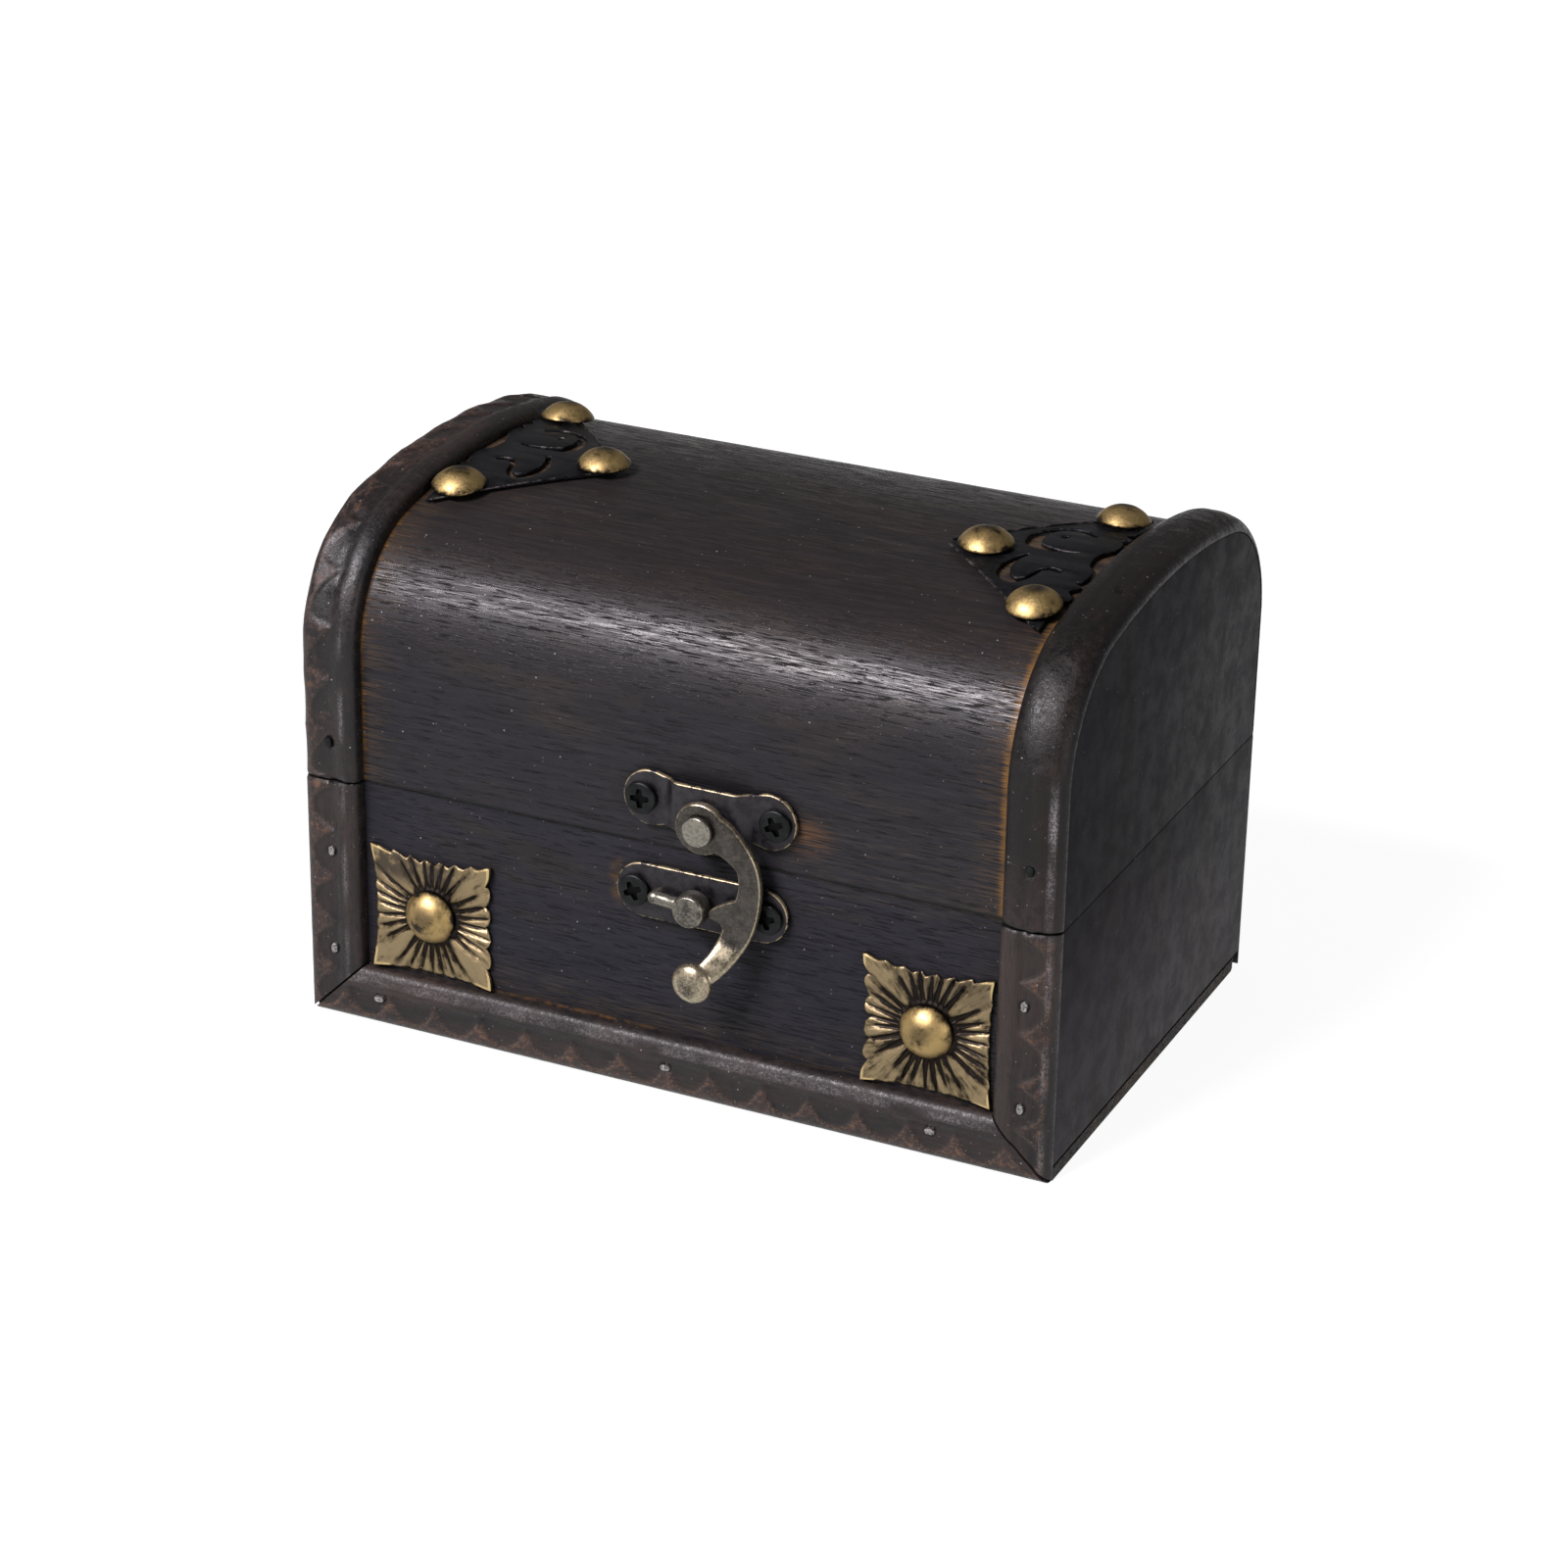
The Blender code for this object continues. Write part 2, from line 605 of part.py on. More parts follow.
def make_corner_plate(name, side, surfaces, base):
    outline = []
    for quarter in range(4):
        turn = Matrix.Rotation(-quarter * math.pi / 2, 2)
        outline += [tuple(turn @ Vector(point)) for point in plate_edge()]
    margin = LEFT_PLATE_MARGIN if side < 0 else PLATE_MARGIN
    centre_x = side * (MOULDING_EDGE - margin - PLATE_SIDE / 2)
    centre_z = MOULDING_WIDTH + PLATE_MARGIN + PLATE_SIDE / 2
    bm = prism(outline, PLATE_THICKNESS)
    plate = object_from(name, bm, surfaces["stamped"], base, on_front(centre_x, centre_z, SEAT_GAP))
    return plate, on_front(centre_x, centre_z)


def bracket_outline():
    """The filigree triangle: +X runs from the wavy edge to the apex, +Y along the edge."""
    half = BRACKET_HALF_LENGTH
    upper = [(-reach * half, along * half) for along, reach in BRACKET_EDGE_SHARES]
    lower = [(x, -y) for x, y in reversed(upper[1:])]
    return lower + upper + [(0.0, half), (BRACKET_DEPTH, 0.0), (0.0, -half)]


def make_bracket(name, side, shift, surfaces, lid):
    """A pierced, slightly leaning triangle bent to the crown, with the places of its three tacks."""
    line_x = MOULDING_EDGE - BRACKET_LINE_SET_BACK
    half = BRACKET_HALF_LENGTH
    lean = Matrix.Identity(4)
    lean[1][0] = BRACKET_LEAN / BRACKET_DEPTH
    flat = Matrix.Translation((side * line_x, shift, 0)) @ Matrix.Scale(-side, 4, (1, 0, 0)) @ lean
    blank = object_from(name + "_blank", prism(bracket_outline(), BRACKET_THICKNESS, flat), None, lid)
    low = flat @ Matrix.Translation((0, 0, -OVERRUN))
    deep = BRACKET_THICKNESS + 2 * OVERRUN
    dot = arc((DOT_SHARES[0] * half, DOT_SHARES[1] * half), DOT_RADIUS, 0, math.tau, SMALL_ROUND_STEPS)[:-1]
    for outline in [dot] + [slot_outline(route, half) for route in SCROLL_SHARES]:
        cut(cutter_from(name + "_slot", prism(outline, deep, low), lid), blank)
    tack_x = side * (MOULDING_EDGE - SEAT_GAP - TACK_RADIUS - BRACKET_TACK_SET_BACK)
    apex_share = LEFT_APEX_TACK_SHARE if side < 0 else RIGHT_APEX_TACK_SHARE
    apex_x = side * (line_x - apex_share * BRACKET_DEPTH)
    spread = BRACKET_TACK_SPREAD_SHARE * half
    places = {
        "front": on_crown(tack_x, shift - spread),
        "back": on_crown(tack_x, shift + spread),
        "apex": on_crown(apex_x, shift + apex_share * BRACKET_LEAN),
    }
    return bend_to_crown(name, blank, surfaces, lid), places


def bend_to_crown(name, blank, surfaces, parent):
    """Cut a flat piece across at even steps, then wrap it round the crown."""
    bpy.context.view_layer.update()
    bm = bmesh.new()
    bm.from_mesh(blank.evaluated_get(bpy.context.evaluated_depsgraph_get()).data)
    heights = [vert.co.y for vert in bm.verts]
    step = (max(heights) - min(heights)) / BRACKET_BENDS
    for i in range(1, BRACKET_BENDS):
        slice_across(bm, (0, min(heights) + step * i, 0), (0, 1, 0))
    for vert in bm.verts:
        vert.co = on_crown(vert.co.x, vert.co.y, SEAT_GAP + vert.co.z).translation
    bmesh.ops.triangulate(bm, faces=bm.faces)
    for item in [blank] + [modifier.object for modifier in blank.modifiers]:
        bpy.data.objects.remove(item, do_unlink=True)
    return object_from(name, bm, surfaces["black"], parent)


def slice_across(bm, point, normal):
    """Add an edge loop where a plane crosses the mesh, so that it can bend there."""
    geom = list(bm.verts) + list(bm.edges) + list(bm.faces)
    bmesh.ops.bisect_plane(bm, geom=geom, dist=MERGE_DISTANCE, plane_co=point, plane_no=normal)


# Latch

def screw_profile(head_radius, head_height, shank_radius, bite, seat):
    """A low domed head over a pointed shank: the head's underside is at height 0."""
    tip = -bite - seat
    return (
        (0, tip), (shank_radius, tip + shank_radius), (shank_radius, 0), (head_radius, 0),
        (head_radius, head_height / 2), (head_radius * SCREW_TOP_SHARE, head_height), (0, head_height),
    )


def make_latch_screw(name, place, surfaces, parent, *targets):
    """A crosshead screw through a strip."""
    seat = STRIP_FRONT + SEAT_GAP
    profile = screw_profile(SCREW_HEAD_RADIUS, SCREW_HEAD_HEIGHT, SCREW_SHANK_RADIUS, SCREW_BITE, seat)
    bm = turned(profile, ROUND_STEPS)
    screw = drive(name, bm, place, seat, SCREW_SHANK_RADIUS, SCREW_BITE, surfaces["screw"], parent, targets)
    floor = place @ Matrix.Translation((0, 0, seat + SCREW_HEAD_HEIGHT - CROSS_DEPTH))
    cross = prism(cross_outline(), CROSS_DEPTH + OVERRUN)
    cut(cutter_from(name + "_cross", cross, parent, floor), screw)


def cross_outline():
    long = CROSS_LENGTH / 2
    wide = CROSS_WIDTH / 2
    quarter = ((long, -wide), (long, wide), (wide, wide))
    outline = []
    for turns in range(4):
        turn = Matrix.Rotation(turns * math.pi / 2, 2)
        outline += [tuple(turn @ Vector(point)) for point in quarter]
    return outline


def strip_rise(x):
    """How far the latch plate's bridge stands out at this distance from its middle."""
    ramp_foot = BRIDGE_LENGTH / 2 + BRIDGE_RAMP / 2
    share = min(1.0, max(0.0, (ramp_foot - abs(x)) / BRIDGE_RAMP))
    return BRIDGE_RISE * share


def make_latch_plate(surfaces, lid):
    """A strip with round ends whose middle is pressed out into a bridge."""
    bm = prism(round_strip(STRIP_LENGTH, STRIP_WIDTH, STRIP_STEPS), STRIP_THICKNESS)
    for side in (-1, 1):
        for ramp_side in (-1, 1):
            slice_across(bm, (side * (BRIDGE_LENGTH + ramp_side * BRIDGE_RAMP) / 2, 0, 0), (1, 0, 0))
    for vert in bm.verts:
        vert.co.z += strip_rise(vert.co.x)
    place = on_front(PIVOT_X, LATCH_STRIP_Z, SEAT_GAP)
    return object_from("latch_plate", bm, surfaces["bronze"], lid, place)


def make_latch_rivet(surfaces, lid):
    """The pin that the hook turns on, with a head in front and a spread tail under the bridge."""
    head_seat = HOOK_BACK + HOOK_THICKNESS + HOOK_EYE_EXTRA + SEAT_GAP
    head_front = head_seat + RIVET_HEAD_HEIGHT
    tail_top = BRIDGE_RISE
    profile = (
        (0, tail_top - RIVET_TAIL_HEIGHT), (RIVET_TAIL_RADIUS, tail_top - RIVET_TAIL_HEIGHT),
        (RIVET_TAIL_RADIUS, tail_top), (RIVET_SHANK_RADIUS, tail_top), (RIVET_SHANK_RADIUS, head_seat),
        (RIVET_HEAD_RADIUS, head_seat), (RIVET_HEAD_RADIUS, head_front - RIVET_CHAMFER),
        (RIVET_HEAD_RADIUS - RIVET_CHAMFER, head_front), (0, head_front),
    )
    place = on_front(PIVOT_X, PIVOT_Z)
    object_from("latch_rivet", turned(profile, ROUND_STEPS), surfaces["worn"], lid, place)
    bore = rod(RIVET_SHANK_RADIUS + SEAT_GAP, SEAT_GAP, head_seat + OVERRUN, ROUND_STEPS)
    return cutter_from("rivet_bore", bore, lid, place)


def hook_ring(middle, side, half_width):
    """A bar section across the arm with bevelled corners, in shares of its half width and thickness."""
    half = HOOK_THICKNESS / 2
    ring = []
    for across, out in ARM_SECTION_SHARES:
        ring.append(middle + side * (across * half_width) + Vector((0, 0, out * half)))
    return ring


def make_swing_hook(surfaces, hook):
    """The arm, with its eye, spur and thumb ball joined on; local +Z is outwards."""
    place = on_front(PIVOT_X, PIVOT_Z, HOOK_MIDDLE)
    scales = (HOOK_DROP, HOOK_DROP, HOOK_DROP, HOOK_FLARE)
    route = smooth_route([[v * s for v, s in zip(point, scales)] for point in HOOK_ROUTE_SHARES], 2)
    rings = []
    for point, side in zip(route, side_steps(route)):
        rings.append(hook_ring(Vector((point[0], point[1], point[3])), side.to_3d(), point[2]))
    made = object_from("swing_hook", skin(rings), surfaces["bronze"], hook, place)
    spur = prism([(x * HOOK_DROP, z * HOOK_DROP) for x, z in SPUR_SHARES], SPUR_THICKNESS)
    low = place @ Matrix.Translation((0, 0, -SPUR_THICKNESS / 2))
    end = place @ Matrix.Translation((route[-1][0], route[-1][1], HOOK_FLARE))
    combine(made, cutter_from("hook_eye", turned(hook_eye_profile(), ROUND_STEPS), hook, place), "UNION")
    combine(made, cutter_from("hook_spur", spur, hook, low), "UNION")
    combine(made, cutter_from("hook_ball", turned(hook_ball_profile(), ROUND_STEPS), hook, end), "UNION")
    return made


def hook_eye_profile():
    back = HOOK_EYE_EXTRA - HOOK_THICKNESS / 2
    front = HOOK_EYE_EXTRA + HOOK_THICKNESS / 2
    low = HOOK_EYE_CHAMFER - HOOK_THICKNESS / 2
    edge = HOOK_EYE_RADIUS - HOOK_EYE_CHAMFER
    return (
        (0, back), (edge, back), (HOOK_EYE_RADIUS, low), (HOOK_EYE_RADIUS, -low), (edge, front), (0, front),
    )


def hook_ball_profile():
    """A slightly flattened ball, from its back to its front."""
    profile = [(0, -HOOK_BALL_HALF_THICKNESS)]
    for i in range(1, 2 * DOME_STEPS):
        turn = math.pi * (i / (2 * DOME_STEPS) - 0.5)
        profile.append((HOOK_BALL_RADIUS * math.cos(turn), HOOK_BALL_HALF_THICKNESS * math.sin(turn)))
    return profile + [(0, HOOK_BALL_HALF_THICKNESS)]


def make_catch_plate(surfaces, base):
    bm = prism(round_strip(STRIP_LENGTH, STRIP_WIDTH, STRIP_STEPS), STRIP_THICKNESS)
    place = on_front(CATCH_STRIP_X, CATCH_Z, SEAT_GAP)
    return object_from("catch_plate", bm, surfaces["bronze"], base, place)


def make_catch_post(surfaces, base):
    """A short round head with a flat on the hook's side, carried by a slanted rod riveted in the plate."""
    rim = CATCH_RADIUS - CATCH_RIM
    profile = (
        (0, CATCH_BACK), (rim, CATCH_BACK), (CATCH_RADIUS, CATCH_BACK + CATCH_RIM),
        (CATCH_RADIUS, CATCH_REACH - CATCH_RIM), (rim, CATCH_REACH), (0, CATCH_REACH),
    )
    place = on_front(CATCH_X, CATCH_Z)
    post = object_from("catch_post", turned(profile, ROUND_STEPS), surfaces["worn"], base, place)
    flat = CATCH_FLAT_X - CATCH_X
    tall = CATCH_RADIUS + OVERRUN
    trim = box((flat, -tall, 0), (flat + CATCH_RADIUS, tall, CATCH_REACH + OVERRUN))
    cut(cutter_from("catch_flat_trim", trim, base, place), post)
    foot_place = on_front(ROD_FOOT_X, CATCH_Z)
    join_out = CATCH_BACK + ROD_JOIN_SHARE * (CATCH_REACH - CATCH_BACK)
    slant = Vector((CATCH_X - ROD_FOOT_X, 0, join_out - ROD_OUT))
    aim = Matrix.Translation((0, 0, ROD_OUT)) @ slant.to_track_quat("Z", "Y").to_matrix().to_4x4()
    arm = rod(ROD_RADIUS, 0, slant.length, SMALL_ROUND_STEPS)
    combine(post, cutter_from("catch_rod", arm, base, foot_place @ aim), "UNION")
    foot = rod(ROD_RADIUS, SEAT_GAP, ROD_OUT + ROD_RADIUS, SMALL_ROUND_STEPS)
    combine(post, cutter_from("catch_foot", foot, base, foot_place), "UNION")
    bore = rod(ROD_RADIUS + SEAT_GAP, -OVERRUN, STRIP_FRONT + OVERRUN, SMALL_ROUND_STEPS)
    return cutter_from("catch_foot_bore", bore, base, foot_place)


# Hinges

def hinge_axis_place(x):
    """Local +Z runs along the hinge's pin."""
    return Matrix.Translation(HINGE_AXIS + Vector((x, 0, 0))) @ Matrix.Rotation(math.pi / 2, 4, "Y")


def make_leaf(name, x, up, surfaces, parent):
    """One leaf with its knuckles: the lid's stands up with the middle knuckle, the base's hangs down."""
    half = HINGE_WIDTH / 2
    inner = MIDDLE_KNUCKLE_SHARE * half
    clear = KNUCKLE_RADIUS + SEAT_GAP
    if up > 0:
        foot = [(-half, clear), (-inner, clear), (-inner, 0), (inner, 0), (inner, clear), (half, clear)]
        knuckles = [(-inner, inner)]
    else:
        gap = inner + SEAT_GAP
        foot = [(-half, 0), (-gap, 0), (-gap, clear), (gap, clear), (gap, 0), (half, 0)]
        knuckles = [(-half, -gap), (gap, half)]
    outline = [(along, up * rise) for along, rise in foot + [(half, LEAF_HEIGHT), (-half, LEAF_HEIGHT)]]
    place = on_back(x, SEAM_HEIGHT, SEAT_GAP)
    leaf = object_from(name, prism(outline, LEAF_THICKNESS), surfaces["hinge"], parent, place)
    pin_line = hinge_axis_place(x)
    for low, high in knuckles:
        roll = rod(KNUCKLE_RADIUS, low, high, ROUND_STEPS)
        combine(leaf, cutter_from(name + "_roll", roll, parent, pin_line), "UNION")
    bore = rod(PIN_RADIUS + SEAT_GAP, -half - OVERRUN, half + OVERRUN, SMALL_ROUND_STEPS)
    cut(cutter_from(name + "_bore", bore, parent, pin_line), leaf)
    return leaf


def make_hinge_pin(name, x, surfaces, base):
    half = HINGE_WIDTH / 2 + SEAT_GAP
    end = half + PIN_HEAD_LENGTH
    profile = (
        (0, -end), (PIN_HEAD_RADIUS, -end), (PIN_HEAD_RADIUS, -half), (PIN_RADIUS, -half),
        (PIN_RADIUS, half), (PIN_HEAD_RADIUS, half), (PIN_HEAD_RADIUS, end), (0, end),
    )
    pin = turned(profile, SMALL_ROUND_STEPS)
    return object_from(name, pin, surfaces["hinge"], base, hinge_axis_place(x))


def make_leaf_screws(prefix, x, up, surfaces, parent, *targets):
    """The two small screws of one leaf."""
    seat = LEAF_THICKNESS + 2 * SEAT_GAP
    shank = HINGE_SCREW_SHANK_RADIUS
    bite = HINGE_SCREW_BITE
    profile = screw_profile(HINGE_SCREW_HEAD_RADIUS, HINGE_SCREW_HEAD_HEIGHT, shank, bite, seat)
    z = SEAM_HEIGHT + up * HINGE_SCREW_RISE_SHARE * LEAF_HEIGHT
    for count, side in enumerate((-1, 1), 1):
        name = "%s_screw_%d" % (prefix, count)
        place = on_back(x + side * HINGE_SCREW_SPACING / 2, z)
        bm = turned(profile, SMALL_ROUND_STEPS)
        drive(name, bm, place, seat, shank, bite, surfaces["screw"], parent, targets)


# Assembly

def make_base(surfaces, base):
    make_bottom_board(surfaces, base)
    walls = make_base_walls(surfaces, base)
    rail = make_rail(surfaces, base)
    front_posts = []
    for side, side_name in SIDES:
        front_posts.append(make_post("base_front_%s_post" % side_name, side, True, surfaces, base))
        make_post("base_back_%s_post" % side_name, side, False, surfaces, base)
    held = [rail, *front_posts, walls["base_front_board"], walls["base_left_end"], walls["base_right_end"]]
    make_brads("base", brad_places()[1], held, surfaces, base)
    for side, side_name in SIDES:
        plate, place = make_corner_plate("%s_corner_plate" % side_name, side, surfaces, base)
        make_tack("%s_plate_tack" % side_name, place, surfaces, base, plate, walls["base_front_board"])
    return walls


def make_lid(surfaces, lid):
    shell = make_lid_shell(surfaces, lid)
    held = make_lid_ends(surfaces, lid)
    for side, side_name in SIDES:
        held.append(make_arch("lid_%s_arch" % side_name, side * MOULDING_X, surfaces, lid))
    make_brads("lid", brad_places()[0], held, surfaces, lid)
    for side, side_name in SIDES:
        shift = LEFT_BRACKET_SHIFT if side < 0 else RIGHT_BRACKET_SHIFT
        bracket, places = make_bracket("%s_filigree_bracket" % side_name, side, shift, surfaces, lid)
        for corner, place in places.items():
            make_tack("%s_bracket_%s_tack" % (side_name, corner), place, surfaces, lid, bracket, shell)
    return shell


def make_latch(surfaces, shell, front_board, base, lid, hook):
    latch_plate = make_latch_plate(surfaces, lid)
    swing_hook = make_swing_hook(surfaces, hook)
    cut(make_latch_rivet(surfaces, lid), latch_plate, swing_hook)
    catch_plate = make_catch_plate(surfaces, base)
    cut(make_catch_post(surfaces, base), catch_plate)
    for side, side_name in SIDES:
        offset = side * SCREW_SPACING / 2
        upper = on_front(PIVOT_X + offset, LATCH_STRIP_Z)
        make_latch_screw("latch_%s_screw" % side_name, upper, surfaces, lid, latch_plate, shell)
        lower = on_front(CATCH_STRIP_X + offset, CATCH_Z)
        make_latch_screw("catch_%s_screw" % side_name, lower, surfaces, base, catch_plate, front_board)


def make_hinges(surfaces, shell, back_board, base, lid):
    for side, side_name in SIDES:
        x = side * HINGE_SPACING / 2
        make_hinge_pin("%s_hinge_pin" % side_name, x, surfaces, base)
        leaf = make_leaf("%s_hinge_lid_leaf" % side_name, x, 1, surfaces, lid)
        make_leaf_screws("%s_hinge_lid" % side_name, x, 1, surfaces, lid, leaf, shell)
        leaf = make_leaf("%s_hinge_base_leaf" % side_name, x, -1, surfaces, base)
        make_leaf_screws("%s_hinge_base" % side_name, x, -1, surfaces, base, leaf, back_board)


def main():
    clear_scene()
    surfaces = make_materials()
    base = axis_empty("chest_base", Vector((0, 0, 0)))
    lid = axis_empty("lid_hinge_axis", HINGE_AXIS)
    hook = axis_empty("hook_pivot_axis", HOOK_PIVOT)
    walls = make_base(surfaces, base)
    shell = make_lid(surfaces, lid)
    make_latch(surfaces, shell, walls["base_front_board"], base, lid, hook)
    make_hinges(surfaces, shell, walls["base_back_board"], base, lid)
    bpy.context.view_layer.update()


main()
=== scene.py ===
"""Looks of the small domed wooden treasure box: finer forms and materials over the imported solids.

Metres, +Z up. X runs along the box and the front faces -Y. Sizes repeat part.py's.
"""

import math
from collections import namedtuple

import bmesh
import bpy
from mathutils import Matrix, Vector, noise


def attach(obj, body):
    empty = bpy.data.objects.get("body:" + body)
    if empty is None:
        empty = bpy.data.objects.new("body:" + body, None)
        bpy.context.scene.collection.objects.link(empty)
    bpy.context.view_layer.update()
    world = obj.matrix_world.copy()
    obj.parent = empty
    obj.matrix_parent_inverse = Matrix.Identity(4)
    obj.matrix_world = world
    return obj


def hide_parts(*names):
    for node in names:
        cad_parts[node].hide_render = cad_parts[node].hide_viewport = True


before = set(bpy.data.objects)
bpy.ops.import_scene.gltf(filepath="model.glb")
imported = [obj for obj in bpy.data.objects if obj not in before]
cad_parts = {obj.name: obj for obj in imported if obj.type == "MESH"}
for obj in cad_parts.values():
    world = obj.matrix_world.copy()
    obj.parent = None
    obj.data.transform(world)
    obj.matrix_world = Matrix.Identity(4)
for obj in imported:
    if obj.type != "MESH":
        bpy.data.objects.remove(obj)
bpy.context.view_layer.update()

MM = 0.001

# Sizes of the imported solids
HALF_WIDTH = 60.0 * MM
HALF_DEPTH = 38.4 * MM
SEAM_HEIGHT = 38.9 * MM
SHOULDER_RADIUS = 18.3 * MM
CROWN_RADIUS = 119.0 * MM
CROWN_CENTRE = -40.0 * MM
END_THICKNESS = 6.0 * MM
WALL_THICKNESS = 4.0 * MM
SHELL_THICKNESS = 3.0 * MM
WALL_FOOT = 2.3 * MM
SEAT_GAP = 0.3 * MM
MOULDING_WIDTH = 9.0 * MM
MOULDING_PROUD = 2.6 * MM
MOULDING_X = 55.5 * MM
MOULDING_EDGE = 51.0 * MM
REAR_RELIEF = 1.7 * MM
REAR_RELIEF_LENGTH = 4.0 * MM
SEAM_HALF_GAP = 0.15 * MM
SHOULDER_Y = HALF_DEPTH - SHOULDER_RADIUS
CROWN_TILT = math.asin(SHOULDER_Y / (CROWN_RADIUS - SHOULDER_RADIUS))
SHOULDER_Z = CROWN_CENTRE + (CROWN_RADIUS - SHOULDER_RADIUS) * math.cos(CROWN_TILT)
LID_BOTTOM = SEAM_HEIGHT + SEAM_HALF_GAP
BASE_TOP = SEAM_HEIGHT - SEAM_HALF_GAP
BOARD_REACH = HALF_WIDTH - END_THICKNESS - SEAT_GAP

# Fineness and fit of the visual pieces
BOARD_HALF_GAP = 0.03 * MM
MOULDING_SEAT = 0.03 * MM
DOME_STEP = 1.2 * MM
CARVING_STEP = 0.42 * MM
SCOOP_PITCH = 7.7 * MM
WELD = 0.0001 * MM

# Fittings
TACK_RADIUS = 4.1 * MM
TACK_HEIGHT = 2.6 * MM
TACK_SEAT = 1.1 * MM
PLATE_SIDE = 20.4 * MM
PIVOT_X = 6.2 * MM
PIVOT_Z = 44.65 * MM
UPPER_STRIP_Z = PIVOT_Z + 1.8 * MM
STRIP_LENGTH = 27.2 * MM
STRIP_WIDTH = 8.5 * MM
STRIP_THICKNESS = 0.8 * MM
SCREW_SPACING = 21.1 * MM
SCREW_RADIUS = 2.45 * MM
SCREW_HEIGHT = 0.8 * MM
SCREW_SEAT = 1.4 * MM
HOOK_MIDDLE = 3.45 * MM
HOOK_FLARE = 3.75 * MM
HOOK_DROP = 22.6 * MM
CATCH_STRIP_X = 5.1 * MM
CATCH_X = 4.78 * MM
CATCH_Z = 31.72 * MM
CATCH_FLAT = 2.42 * MM
ROD_FOOT_X = -1.70 * MM

# Colours that several looks share
# Black of the wood's pores, also painted as shade in the mouldings' dents and at their ends by the seam.
PORE_AND_SHADE_BLACK = (0.003, 0.003, 0.003)
# Painted shade: black along the seam, in a small pit and in the screws' cross recesses.
PAINTED_CRACK_SHADE = (0.002, 0.002, 0.002)
# Painted shadow with grime: a dark halo round the latch plates.
GRIME_AND_SHADOW = (0.0030, 0.0028, 0.0032)
BROWN_BLOOM = (0.026, 0.020, 0.016)

SIDES = ((-1, "left"), (1, "right"))


# Node materials

class Field:
    """A number at every point of a material. Sums, differences and products of fields become nodes."""

    def __init__(self, look, socket):
        self.look = look
        self.socket = socket

    def combine(self, operation, other=0.0):
        made = self.look.node("ShaderNodeMath", {"operation": operation})
        self.look.feed(made.inputs[0], self)
        self.look.feed(made.inputs[1], other)
        return Field(self.look, made.outputs["Value"])

    def __add__(self, other):
        return self.combine("ADD", other)

    def __sub__(self, other):
        return self.combine("SUBTRACT", other)

    def __mul__(self, other):
        return self.combine("MULTIPLY", other)

    def span(self, low, high, to_low=0.0, to_high=1.0):
        """Map a range to another one, held at its ends."""
        made = self.look.node(
            "ShaderNodeMapRange", {"interpolation_type": "SMOOTHSTEP"},
            Value=self, From_Min=low, From_Max=high, To_Min=to_low, To_Max=to_high,
        )
        return Field(self.look, made.outputs["Result"])


